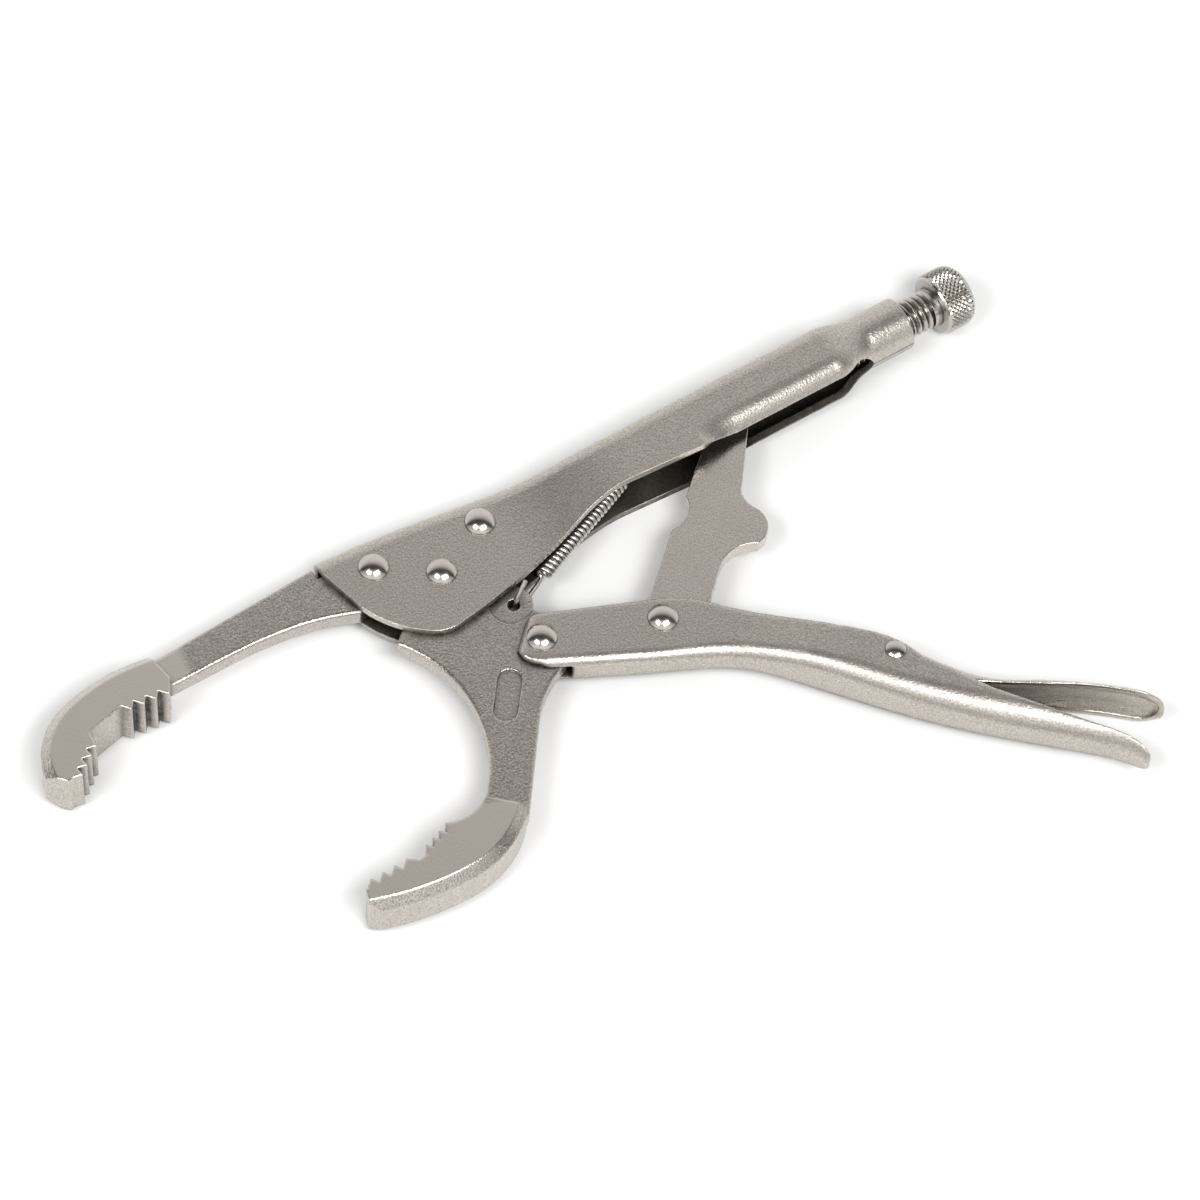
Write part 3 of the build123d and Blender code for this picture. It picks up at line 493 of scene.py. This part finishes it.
def pick(piece, faces=None, edges=None, verts=None):
    """In edit mode, selects faces, edges or points by a test of their place."""
    mesh = bmesh.from_edit_mesh(piece.data)
    for kind in (mesh.faces, mesh.edges, mesh.verts):
        for item in kind:
            item.select_set(False)
    mode = "FACE" if faces else "EDGE" if edges else "VERT"
    bpy.ops.mesh.select_mode(type=mode)
    mesh = bmesh.from_edit_mesh(piece.data)
    wanted = mesh.faces if faces else mesh.edges if edges else mesh.verts
    for item in wanted:
        item.select_set(bool((faces or edges or verts)(item)))
    mesh.select_flush_mode()
    bmesh.update_edit_mesh(piece.data)


def middle(edge):
    """Middle point of an edge."""
    return (edge.verts[0].co + edge.verts[1].co) / 2


def even_out(piece, cell):
    """Makes a piece one closed, even mesh of small cells."""
    even = piece.modifiers.new("even", "REMESH")
    even.mode = "VOXEL"
    even.voxel_size = cell
    bpy.ops.object.modifier_apply(modifier=even.name)


def pressed_copy(name, cell):
    """A copy of a CAD node as an even mesh of small cells."""
    start_piece()
    copy = bpy.data.objects.new(name + "_pressed", frame["nodes"][name].data.copy())
    bpy.context.collection.objects.link(copy)
    copy.select_set(True)
    bpy.context.view_layer.objects.active = copy
    bpy.ops.object.mode_set(mode="EDIT")
    bpy.ops.mesh.select_all(action="SELECT")
    bpy.ops.mesh.remove_doubles(threshold=1e-6)
    bpy.ops.object.mode_set(mode="OBJECT")
    even_out(copy, cell)
    return copy


def ease_surface(piece, rounds):
    """Smooths the small steps left in a piece's mesh."""
    ease = piece.modifiers.new("ease", "SMOOTH")
    ease.factor = 0.5
    ease.iterations = rounds
    bpy.ops.object.modifier_apply(modifier=ease.name)


def rounder(first, second, old, new):
    """Moves a point, given by its depths under two faces, as their corner gets a larger radius."""
    if new <= old or first >= new or second >= new:
        return first, second
    # On a line from the new radius's centre, the old surface is drawn in to that radius
    out_first, out_second = new - first, new - second
    reach = hypot(out_first, out_second)
    share_first, share_second = out_first / reach, out_second / reach
    surface = new / max(share_first, share_second)
    inner = new - old
    if surface * min(share_first, share_second) > inner:
        turn = inner * (share_first + share_second)
        surface = turn + sqrt(max(0.0, turn * turn - 2 * inner * inner + old * old))
    return new - out_first * new / surface, new - out_second * new / surface


def on_run(piece):
    """A piece's points as lengths along the grip's run, across it and up."""
    away = [point.co - HANDLE_PIVOT for point in piece.data.vertices]
    return [[way.dot(GRIP_RUN), way.dot(GRIP_SIDE), way.z] for way in away]


def set_on_run(piece, places):
    """Puts a piece's points at lengths along the grip's run, across it and up."""
    for point, (along, across, z) in zip(piece.data.vertices, places):
        point.co = HANDLE_PIVOT + GRIP_RUN * along + GRIP_SIDE * across + Vector((0, 0, z))


def extents(places, measure, keep):
    """The least or greatest measure of a piece's points at each station along the run."""
    found = {}
    for place in places:
        key = round(place[0] / STATION)
        found[key] = keep(found.get(key, measure(place)), measure(place))
    return found


def round_fold(places, inward, old, radius_at):
    """Gives a channel's two folds a radius that changes along the run; inward is +1 or -1 across it."""
    base = extents(places, lambda place: place[1] * inward, min)
    half = extents(places, lambda place: abs(place[2]), max)
    first, last = min(base), max(base)
    for place in places:
        along, across, z = place
        low = int(along // STATION)
        part = along / STATION - low
        low, high = min(max(low, first), last), min(max(low + 1, first), last)
        floor = base[low] * (1 - part) + base[high] * part
        side = half[low] * (1 - part) + half[high] * part
        depth, rim = rounder(across * inward - floor, side - abs(z), old, min(radius_at(along), side))
        place[1] = (floor + depth) * inward
        place[2] = (side - rim) * (1 if z > 0 else -1)


def ramp_up(value, low, high):
    """From 0 to 1 between two values, with soft ends."""
    part = min(1.0, max(0.0, (value - low) / (high - low)))
    return part * part * (3 - 2 * part)


def finish_piece(piece, name, material, body, nodes, angle):
    """Closes a new piece: its place in its mesh, finish, body and slot."""
    start_piece()
    piece.select_set(True)
    bpy.context.view_layer.objects.active = piece
    bpy.ops.object.transform_apply(location=True, rotation=True, scale=True)
    bpy.ops.object.shade_smooth_by_angle(angle=angle)
    piece.name = name
    piece.data.materials.clear()
    piece.data.materials.append(material)
    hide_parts(*nodes)
    if body:
        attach(piece, body)
    return piece


class PLIERS_OT_finish_handles(bpy.types.Operator):
    """Blasted and plated finish of the two folded handles"""
    bl_idname = "pliers.finish_handles"
    bl_label = "Finish handles"

    def execute(self, context):
        finish = context.scene.pliers_finish
        # The handles get painted shade in their corners and inside their channels
        steel = plated_steel("handle_steel", finish.handle_colour, finish, dent=0.00007, rough=0.35,
                             fleck=0.3, grime_and_shade_reach=0.012, onset=0.8, paint_inside_shade=True)
        dress(["fixed_handle", "moving_handle"], steel)
        return {"FINISHED"}


class PLIERS_OT_finish_lever(bpy.types.Operator):
    """Finish of the pressed release lever"""
    bl_idname = "pliers.finish_lever"
    bl_label = "Finish release lever"

    def execute(self, context):
        finish = context.scene.pliers_finish
        steel = plated_steel("lever_steel", finish.lever_colour, finish, dent=0.00007)
        dress(["release_lever"], steel)
        return {"FINISHED"}


class PLIERS_OT_press_grip(bpy.types.Operator):
    """Moving handle with its fold rounded more and more toward a finger-like tail"""
    bl_idname = "pliers.press_grip"
    bl_label = "Press moving handle"

    def fold_radius(self, sizes, along):
        """Outer radius of the fold, which grows from the ears to the tail."""
        start, end = GRIP_TAIL
        tail = min(1.0, max(0.0, (along - start) / (end - start)))
        full = sizes.fold_front + (sizes.fold_tail - sizes.fold_front) * tail
        return sizes.fold_cad + (full - sizes.fold_cad) * ramp_up(along, *GRIP_EARS_END)

    def execute(self, context):
        sizes = context.scene.pliers_pressing
        handle = pressed_copy("moving_handle", sizes.cell)
        places = on_run(handle)
        end = max(place[0] for place in places)
        wide = max(abs(place[2]) for place in places)
        # The end first, in plan
        for place in places:
            if place[0] > end - sizes.end_round:
                depth, rim = rounder(end - place[0], wide - abs(place[2]), sizes.end_cad, sizes.end_round)
                place[0] = end - depth
                place[2] = (wide - rim) * (1 if place[2] > 0 else -1)
        # Then the fold, and the tip turned out a little
        round_fold(places, 1, sizes.fold_cad, lambda along: self.fold_radius(sizes, along))
        for place in places:
            past = max(0.0, place[0] - (end - sizes.tip_length)) / sizes.tip_length
            place[1] -= sizes.tip_flare * past * past
        set_on_run(handle, places)
        ease_surface(handle, rounds=8)
        finish_piece(handle, "moving_handle_pressed", frame["nodes"]["moving_handle"].active_material,
                     "grip_body", ["moving_handle"], angle=radians(50))
        return {"FINISHED"}


class PLIERS_OT_press_lever(bpy.types.Operator):
    """Release lever whose walls run out into a dished tongue"""
    bl_idname = "pliers.press_lever"
    bl_label = "Press release lever"

    def dish_radius(self, sizes, along):
        """Outer radius of the fold, which grows into the tongue."""
        return sizes.tongue_cad + (sizes.tongue_round - sizes.tongue_cad) * ramp_up(along, *LEVER_DISH)

    def execute(self, context):
        sizes = context.scene.pliers_pressing
        sheet = sizes.lever_sheet
        lever = pressed_copy("release_lever", sizes.cell * LEVER_CELL)
        places = on_run(lever)
        back = extents(places, lambda place: place[1], max)
        rim = extents(places, lambda place: place[1], min)
        # The walls run out into the tongue: they keep their sheet and lose most of their depth
        for place in places:
            key = round(place[0] / STATION)
            depth = back[key] - place[1]
            full = max(back[key] - rim[key], sheet * 1.01)
            left = full + (min(full, sizes.tongue_depth) - full) * ramp_up(place[0], *LEVER_WALLS_END)
            if depth > sheet:
                part = (left - sheet) / (full - sheet)
                place[1] = back[key] - sheet - (depth - sheet) * part
        # The tongue is dished, and a little wider than its walls
        round_fold(places, -1, sizes.tongue_cad, lambda along: self.dish_radius(sizes, along))
        for place in places:
            place[2] *= 1 + (sizes.tongue_spread - 1) * ramp_up(place[0], *LEVER_SPREAD)
        set_on_run(lever, places)
        ease_surface(lever, rounds=18)
        finish_piece(lever, "release_lever_pressed", frame["nodes"]["release_lever"].active_material,
                     "lever_body", ["release_lever"], angle=radians(50))
        return {"FINISHED"}


class PLIERS_OT_finish_jaws(bpy.types.Operator):
    """Finish of the two forged jaws"""
    bl_idname = "pliers.finish_jaws"
    bl_label = "Finish jaws"

    def execute(self, context):
        finish = context.scene.pliers_finish
        steel = plated_steel("jaw_steel", finish.jaw_colour, finish, dent=0.00008, fleck=0.32, edge=1.5,
                             grime_and_shade_reach=0.0024, onset=0.93, ground=finish.ground_from)
        dress(["fixed_jaw", "moving_jaw"], steel)
        return {"FINISHED"}


class PLIERS_OT_finish_link(bpy.types.Operator):
    """Finish of the stamped toggle link"""
    bl_idname = "pliers.finish_link"
    bl_label = "Finish toggle link"

    def execute(self, context):
        finish = context.scene.pliers_finish
        steel = plated_steel("link_steel", finish.link_colour, finish, dent=0.00003, fleck=0.2)
        dress(["toggle_link"], steel)
        return {"FINISHED"}


class PLIERS_OT_finish_rivets(bpy.types.Operator):
    """Polished finish of the domed rivets"""
    bl_idname = "pliers.finish_rivets"
    bl_label = "Finish rivets"

    def execute(self, context):
        finish = context.scene.pliers_finish
        steel = plated_steel("rivet_steel", finish.rivet_colour, finish, dent=0.000003, grain=1.2,
                             rough=0.17, fleck=0.03, edge=0.4, grime_and_shade_reach=0.0014)
        dress([name for name in frame["nodes"] if name.endswith("rivet")], steel)
        return {"FINISHED"}


class PLIERS_OT_build_screw(bpy.types.Operator):
    """Adjusting screw with its cut thread and diamond knurled knob"""
    bl_idname = "pliers.build_screw"
    bl_label = "Build adjusting screw"

    def thread(self, sizes, start_x, end_x):
        """The threaded shank, wound from one notch of the thread."""
        pitch = sizes.thread_pitch
        root = sizes.thread_radius - sizes.thread_depth
        crest = 0.17             # width of a crest, against the notch
        spare = 2                # turns past each end, cut off below
        weld = pitch * 0.01
        start_piece()
        bpy.ops.mesh.primitive_plane_add(size=1.0, location=(0, 0, 0))
        shank = bpy.context.object
        bpy.ops.object.mode_set(mode="EDIT")
        bpy.ops.transform.resize(value=(pitch, sizes.thread_depth, 1))
        bpy.ops.transform.translate(value=(0, root + sizes.thread_depth / 2, 0))
        pick(shank, edges=lambda e: middle(e).y > root + 0.9 * sizes.thread_depth)
        bpy.ops.transform.resize(value=(crest, 1, 1), center_override=(0, sizes.thread_radius, 0))
        pick(shank, edges=lambda e: middle(e).y < root + 0.1 * sizes.thread_depth)
        bpy.ops.mesh.delete(type="EDGE_FACE")
        bpy.ops.object.mode_set(mode="OBJECT")
        wind = shank.modifiers.new("wind", "SCREW")
        wind.axis = "X"
        wind.screw_offset = pitch
        wind.iterations = int((end_x - start_x) / pitch) + 2 * spare
        wind.steps = 40
        wind.render_steps = 40
        wind.use_merge_vertices = True
        wind.merge_threshold = weld
        bpy.ops.object.modifier_apply(modifier=wind.name)
        bpy.ops.object.mode_set(mode="EDIT")
        bpy.ops.mesh.select_all(action="SELECT")
        bpy.ops.mesh.remove_doubles(threshold=weld)
        bpy.ops.transform.translate(value=(start_x - spare * pitch, SCREW_AXIS.y, SCREW_AXIS.z))
        for x, way in ((start_x, -1), (end_x, 1)):
            bpy.ops.mesh.select_all(action="SELECT")
            bpy.ops.mesh.bisect(plane_co=(x, 0, 0), plane_no=(way, 0, 0), use_fill=True, clear_outer=True)
        bpy.ops.mesh.select_all(action="SELECT")
        bpy.ops.mesh.normals_make_consistent(inside=False)
        bpy.ops.object.mode_set(mode="OBJECT")
        return shank

    def knob(self, sizes, start_x, end_x):
        """The knob: small pyramids set as diamonds, between a turned face and a rounded end."""
        base = KNOB_RADIUS * sizes.knob_spread - sizes.knurl_height
        row = (end_x - start_x) / sizes.knurl_rows
        near = 1e-5
        start_piece()
        bpy.ops.mesh.primitive_cylinder_add(
            vertices=sizes.knurl_around, radius=base, depth=end_x - start_x, end_fill_type="NOTHING",
            rotation=(0, pi / 2, 0), location=((start_x + end_x) / 2, SCREW_AXIS.y, SCREW_AXIS.z))
        knob = bpy.context.object
        bpy.ops.object.transform_apply(location=True, rotation=True, scale=True)
        bpy.ops.object.mode_set(mode="EDIT")
        pick(knob, edges=lambda e: abs(e.verts[0].co.x - e.verts[1].co.x) > 0.5 * (end_x - start_x))
        bpy.ops.mesh.subdivide(number_cuts=sizes.knurl_rows - 1)
        # The last two rings are drawn in, by shares of the outer end's rounding
        for x, drop in ((end_x - row, 0.14), (end_x, 0.8)):
            part = 1 - drop * sizes.knob_round / base
            pick(knob, verts=lambda v: abs(v.co.x - x) < near)
            bpy.ops.transform.resize(value=(1, part, part), center_override=(x, SCREW_AXIS.y, SCREW_AXIS.z))
        # Each square is crossed, and the old lines go, which leaves diamonds to raise
        mesh = bmesh.from_edit_mesh(knob.data)
        old = {tuple(round(c, 7) for c in v.co) for v in mesh.verts}
        bpy.ops.mesh.select_all(action="SELECT")
        bpy.ops.mesh.poke(offset=0.0)
        pick(knob, edges=lambda e: len(e.link_faces) == 2
             and all(tuple(round(c, 7) for c in v.co) in old for v in e.verts))
        bpy.ops.mesh.dissolve_edges(use_verts=False)
        pick(knob, faces=lambda f: len(f.verts) == 4)
        bpy.ops.mesh.poke(offset=sizes.knurl_height)
        # Both ends: a chamfer and a flat face, the outer one with a shallow turned ring
        ring_edge, ring_width, ring_depth = 0.0009, 0.0003, 0.00025
        for x, way, ring in ((start_x, -1, False), (end_x, 1, True)):
            pick(knob, edges=lambda e: len(e.link_faces) == 1
                 and all(abs(v.co.x - x) < near for v in e.verts))
            bpy.ops.mesh.extrude_edges_move()
            bpy.ops.transform.translate(value=(way * KNOB_CHAMFER, 0, 0))
            bpy.ops.transform.resize(value=(1, 0.96, 0.96), center_override=(x, SCREW_AXIS.y, SCREW_AXIS.z))
            bpy.ops.mesh.edge_face_add()
            if ring:
                bpy.ops.mesh.inset(thickness=ring_edge)
                bpy.ops.mesh.inset(thickness=ring_width, depth=-ring_depth)
        bpy.ops.mesh.select_all(action="SELECT")
        bpy.ops.mesh.normals_make_consistent(inside=False)
        bpy.ops.object.mode_set(mode="OBJECT")
        return knob

    def execute(self, context):
        finish = context.scene.pliers_finish
        sizes = context.scene.pliers_screw
        knob_start = SCREW_HIGH.x - sizes.knob_length
        # The shank and the neck run on into the knob
        shank_seat, neck_seat = 0.0006, 0.001
        neck_length = sizes.neck_length + neck_seat
        shank = self.thread(sizes, SCREW_LOW.x, knob_start + shank_seat)
        knob = self.knob(sizes, knob_start + KNOB_CHAMFER, SCREW_HIGH.x - KNOB_CHAMFER)
        start_piece()
        bpy.ops.mesh.primitive_cylinder_add(
            vertices=64, radius=sizes.thread_radius * 1.01, depth=neck_length, rotation=(0, pi / 2, 0),
            location=(knob_start + neck_seat - neck_length / 2, SCREW_AXIS.y, SCREW_AXIS.z))
        neck = bpy.context.object
        start_piece()
        for piece in (shank, neck, knob):
            piece.select_set(True)
        context.view_layer.objects.active = knob
        bpy.ops.object.join()
        steel = plated_steel("screw_steel", finish.screw_colour, finish, dent=0.000003, grain=0.8,
                             rough=0.18, fleck=0.04, edge=0.2, grime_and_shade_reach=0.0011, onset=0.84)
        finish_piece(knob, "adjusting_screw_cut", steel, "screw_body", ["adjusting_screw"],
                     angle=radians(20))
        return {"FINISHED"}


class PLIERS_OT_build_spring(bpy.types.Operator):
    """Tension spring wound in one wire, with a hook at each end"""
    bl_idname = "pliers.build_spring"
    bl_label = "Build spring"

    def execute(self, context):
        finish = context.scene.pliers_finish
        sizes = context.scene.pliers_spring
        # From the lug's hole to the tab's hole, as on the drawing
        hole = on_tool(10.7, -16.1)
        anchor = on_tool(62.0, 4.8)
        along = (anchor - hole).normalized()
        side = Vector((-along.y, along.x, 0))
        up = Vector((0, 0, 1))
        length = sizes.coil_turns * sizes.coil_pitch
        rearward = 0.0015        # the coils lie this far behind the middle
        begin = ((anchor - hole).length - length) / 2 + rearward
        steps = 16
        shrink = (2 + cos(2 * pi / steps)) / 3       # a cubic spline runs inside its points
        # The front hook, in millimetres along the spring and up
        hook = [(4.69, 7.25), (3.6, 5.95), (2.2, 4.3), (1.15, 3.05), (0.72, 2.0), (0.7, 0.0),
                (0.72, -1.8), (1.0, -2.6), (1.9, -2.8), (3.4, -2.8), (5.2, -2.8), (7.0, -2.3)]
        route = [hole + along * (run * 0.001) + up * (rise * 0.001) for run, rise in hook]
        for step in range(sizes.coil_turns * steps + 1):
            turn = 2 * pi * step / steps
            reach = sizes.coil_radius / shrink
            route.append(hole + along * (begin + sizes.coil_pitch * step / steps)
                         + side * (reach * sin(turn)) - up * (reach * cos(turn)))
        # The rear hook, in millimetres from the tab's hole
        tail = [(-3.2, -0.4, -0.6), (-1.8, 0.0, 0.0), (0.5, 0.0, 0.0), (2.2, 0.0, 0.0), (3.4, -0.5, 0.0),
                (3.7, -1.35, 0.0), (3.3, -2.4, 0.0), (2.0, -2.7, 0.0), (-0.4, -2.7, 0.0), (-2.6, -2.7, 0.0)]
        route += [anchor + Vector(offset) * 0.001 for offset in tail]
        start_piece()
        bpy.ops.curve.primitive_nurbs_path_add(location=(0, 0, 0))
        spring = bpy.context.object
        spring.data.splines.clear()
        wire = spring.data.splines.new("NURBS")
        wire.points.add(len(route) - 1)
        for point, place in zip(wire.points, route):
            point.co = (*place, 1.0)
        wire.order_u = 4
        wire.use_endpoint_u = True
        wire.resolution_u = 2
        spring.data.bevel_depth = sizes.wire_radius
        spring.data.bevel_resolution = 3
        spring.data.use_fill_caps = True
        bpy.ops.object.convert(target="MESH")
        spring = bpy.context.object
        steel = plated_steel("spring_wire", finish.spring_colour, finish, dent=0.000002, rough=0.3,
                             fleck=0.02, edge=0.2, grime_and_shade_reach=0.0008)
        finish_piece(spring, "jaw_spring_wound", steel, None, ["jaw_spring"],
                     angle=radians(60))
        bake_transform(spring)
        return {"FINISHED"}


class PLIERS_OT_set_stage(bpy.types.Operator):
    """Pale floor, soft studio light and the photograph's camera"""
    bl_idname = "pliers.set_stage"
    bl_label = "Set stage"

    def camera_axes(self, sizes):
        """Camera axes in the shared frame, as columns: right, up and back."""
        tilt = pi / 2 - sizes.elevation
        lean = sizes.lean
        rise = Vector((sin(tilt) * sin(lean), sin(tilt) * cos(lean), cos(tilt)))
        level = Vector((cos(lean), -sin(lean), 0))
        depth = rise.cross(level)
        run = level * cos(sizes.yaw) + depth * sin(sizes.yaw)
        side = depth * cos(sizes.yaw) - level * sin(sizes.yaw)
        return Matrix((run, side, rise))

    def place_camera(self, sizes, axes):
        """The photograph's camera, from where it sights the jaw pivot."""
        # The sighted point, from the camera, in the camera's own directions
        pixels = sizes.lens / SENSOR_WIDTH * PHOTO_WIDTH
        sight = Vector((sizes.pivot_right / pixels, sizes.pivot_up / pixels, -1.0)) * sizes.distance
        eye = JAW_PIVOT + Vector((0, 0, sizes.pivot_height)) - axes @ sight
        start_piece()
        bpy.ops.object.camera_add()
        camera = bpy.context.object
        camera.matrix_world = Matrix.Translation(eye) @ axes.to_4x4()
        camera.data.lens = sizes.lens
        camera.data.sensor_width = SENSOR_WIDTH
        camera.data.sensor_fit = "HORIZONTAL"
        camera.data.clip_end = 20.0
        bpy.context.scene.camera = camera

    def lay_floor(self, centre):
        """A sheet of white card under the tool."""
        start_piece()
        bpy.ops.mesh.primitive_plane_add(size=8.0, location=centre)
        floor = bpy.context.object
        floor.name = "floor"
        card = bpy.data.materials.new("white_card")
        card.use_nodes = True
        tree = card.node_tree
        shader = tree.nodes["Principled BSDF"]
        shader.inputs["Roughness"].default_value = 0.8
        paper = noise(tree, node(tree, "ShaderNodeTexCoord").outputs["Object"], 40.0, 3.0, 0.5)
        white = mix_colour(tree, paper, (0.9, 0.9, 0.9), (0.93, 0.93, 0.925))
        tree.links.new(white, shader.inputs["Base Color"])
        floor.data.materials.append(card)

    def hang_softboxes(self, sizes, centre, toward):
        """Two softboxes over the camera, to its right and left."""
        ahead, height = 0.73, 1.43
        across = Vector((-toward.y, toward.x, 0))
        for name, side, size, power in (("key_softbox", 0.55, (0.9, 0.55), sizes.key_power),
                                        ("left_softbox", -0.75, (0.7, 0.5), sizes.key_power * 0.6)):
            place = centre + toward * ahead + across * side + Vector((0, 0, height))
            start_piece()
            bpy.ops.object.light_add(type="AREA", location=place)
            softbox = bpy.context.object
            softbox.name = name
            softbox.data.shape = "RECTANGLE"
            softbox.data.size, softbox.data.size_y = size
            softbox.data.energy = power
            softbox.rotation_euler = (centre - place).to_track_quat("-Z", "Y").to_euler()

    def light_room(self, sizes, toward):
        """A room that is light beyond the tool and in a band over the camera, and dark elsewhere."""
        world = bpy.data.worlds.new("studio")
        world.use_nodes = True
        bpy.context.scene.world = world
        tree = world.node_tree
        ray = node(tree, "ShaderNodeTexCoord").outputs["Generated"]
        facing = node(tree, "ShaderNodeVectorMath", {0: ray, 1: toward}, operation="DOT_PRODUCT")
        turn = math(tree, "ARCTAN2", upward(tree, ray), facing.outputs["Value"])
        walls = node(tree, "ShaderNodeValToRGB", {"Fac": span(tree, turn, 0.0, pi)})
        # Greys by degrees from the horizon behind the camera, over the top, to the one beyond the tool
        shades = [(0, 0.12), (34, 0.14), (50, 0.5), (64, 0.7), (74, 0.12), (80, 0.04), (103, 0.07),
                  (112, 0.28), (119, 0.58), (128, 0.74), (150, 1.0), (180, 1.15)]
        ramp = walls.color_ramp
        for angle, grey in shades:
            stop = ramp.elements.new(angle / 180) if angle not in (0, 180) else ramp.elements[angle // 180]
            stop.color = (grey, grey, grey, 1.0)
        tree.links.new(walls.outputs["Color"], tree.nodes["Background"].inputs["Color"])
        tree.nodes["Background"].inputs["Strength"].default_value = sizes.room_light

    def execute(self, context):
        sizes = context.scene.pliers_stage
        axes = self.camera_axes(sizes)
        low, high = CAD_BOX
        centre = Vector(((low[0] + high[0]) / 2, (low[1] + high[1]) / 2, low[2]))
        back = axes @ Vector((0, 0, 1))
        toward = Vector((back.x, back.y, 0)).normalized()
        self.place_camera(sizes, axes)
        self.lay_floor(centre)
        self.hang_softboxes(sizes, centre, toward)
        self.light_room(sizes, toward)
        # The plain contrast of the photograph, with the card white
        context.scene.view_settings.view_transform = "Standard"
        return {"FINISHED"}


class PLIERS_PT_sidebar(bpy.types.Panel):
    """Lists the pieces and finishes of the pliers"""
    bl_idname = "PLIERS_PT_sidebar"
    bl_label = "Locking filter pliers"
    bl_space_type = "VIEW_3D"
    bl_region_type = "UI"
    bl_category = "Pliers"

    def draw(self, context):
        for group in SETTINGS:
            box = self.layout.box()
            settings = getattr(context.scene, group)
            for key in type(settings).__annotations__:
                box.prop(settings, key)
        for operator in OPERATORS:
            self.layout.operator(operator.bl_idname)


SETTINGS = {"pliers_finish": FinishSettings, "pliers_screw": ScrewSettings,
            "pliers_spring": SpringSettings, "pliers_pressing": PressingSettings,
            "pliers_stage": StageSettings}
OPERATORS = (PLIERS_OT_finish_handles, PLIERS_OT_finish_lever, PLIERS_OT_press_grip, PLIERS_OT_press_lever,
             PLIERS_OT_finish_jaws, PLIERS_OT_finish_link, PLIERS_OT_finish_rivets, PLIERS_OT_build_screw,
             PLIERS_OT_build_spring, PLIERS_OT_set_stage)


def register():
    for name, settings in SETTINGS.items():
        bpy.utils.register_class(settings)
        setattr(bpy.types.Scene, name, PointerProperty(type=settings))
    for operator in OPERATORS:
        bpy.utils.register_class(operator)
    bpy.utils.register_class(PLIERS_PT_sidebar)


def unregister():
    bpy.utils.unregister_class(PLIERS_PT_sidebar)
    for operator in reversed(OPERATORS):
        bpy.utils.unregister_class(operator)
    for name, settings in reversed(SETTINGS.items()):
        delattr(bpy.types.Scene, name)
        bpy.utils.unregister_class(settings)


def main():
    register()
    bpy.ops.pliers.finish_handles()
    bpy.ops.pliers.finish_lever()
    bpy.ops.pliers.press_grip()
    bpy.ops.pliers.press_lever()
    bpy.ops.pliers.finish_jaws()
    bpy.ops.pliers.finish_link()
    bpy.ops.pliers.finish_rivets()
    bpy.ops.pliers.build_screw()
    bpy.ops.pliers.build_spring()
    bpy.ops.pliers.set_stage()


if __name__ == "__main__":
    main()
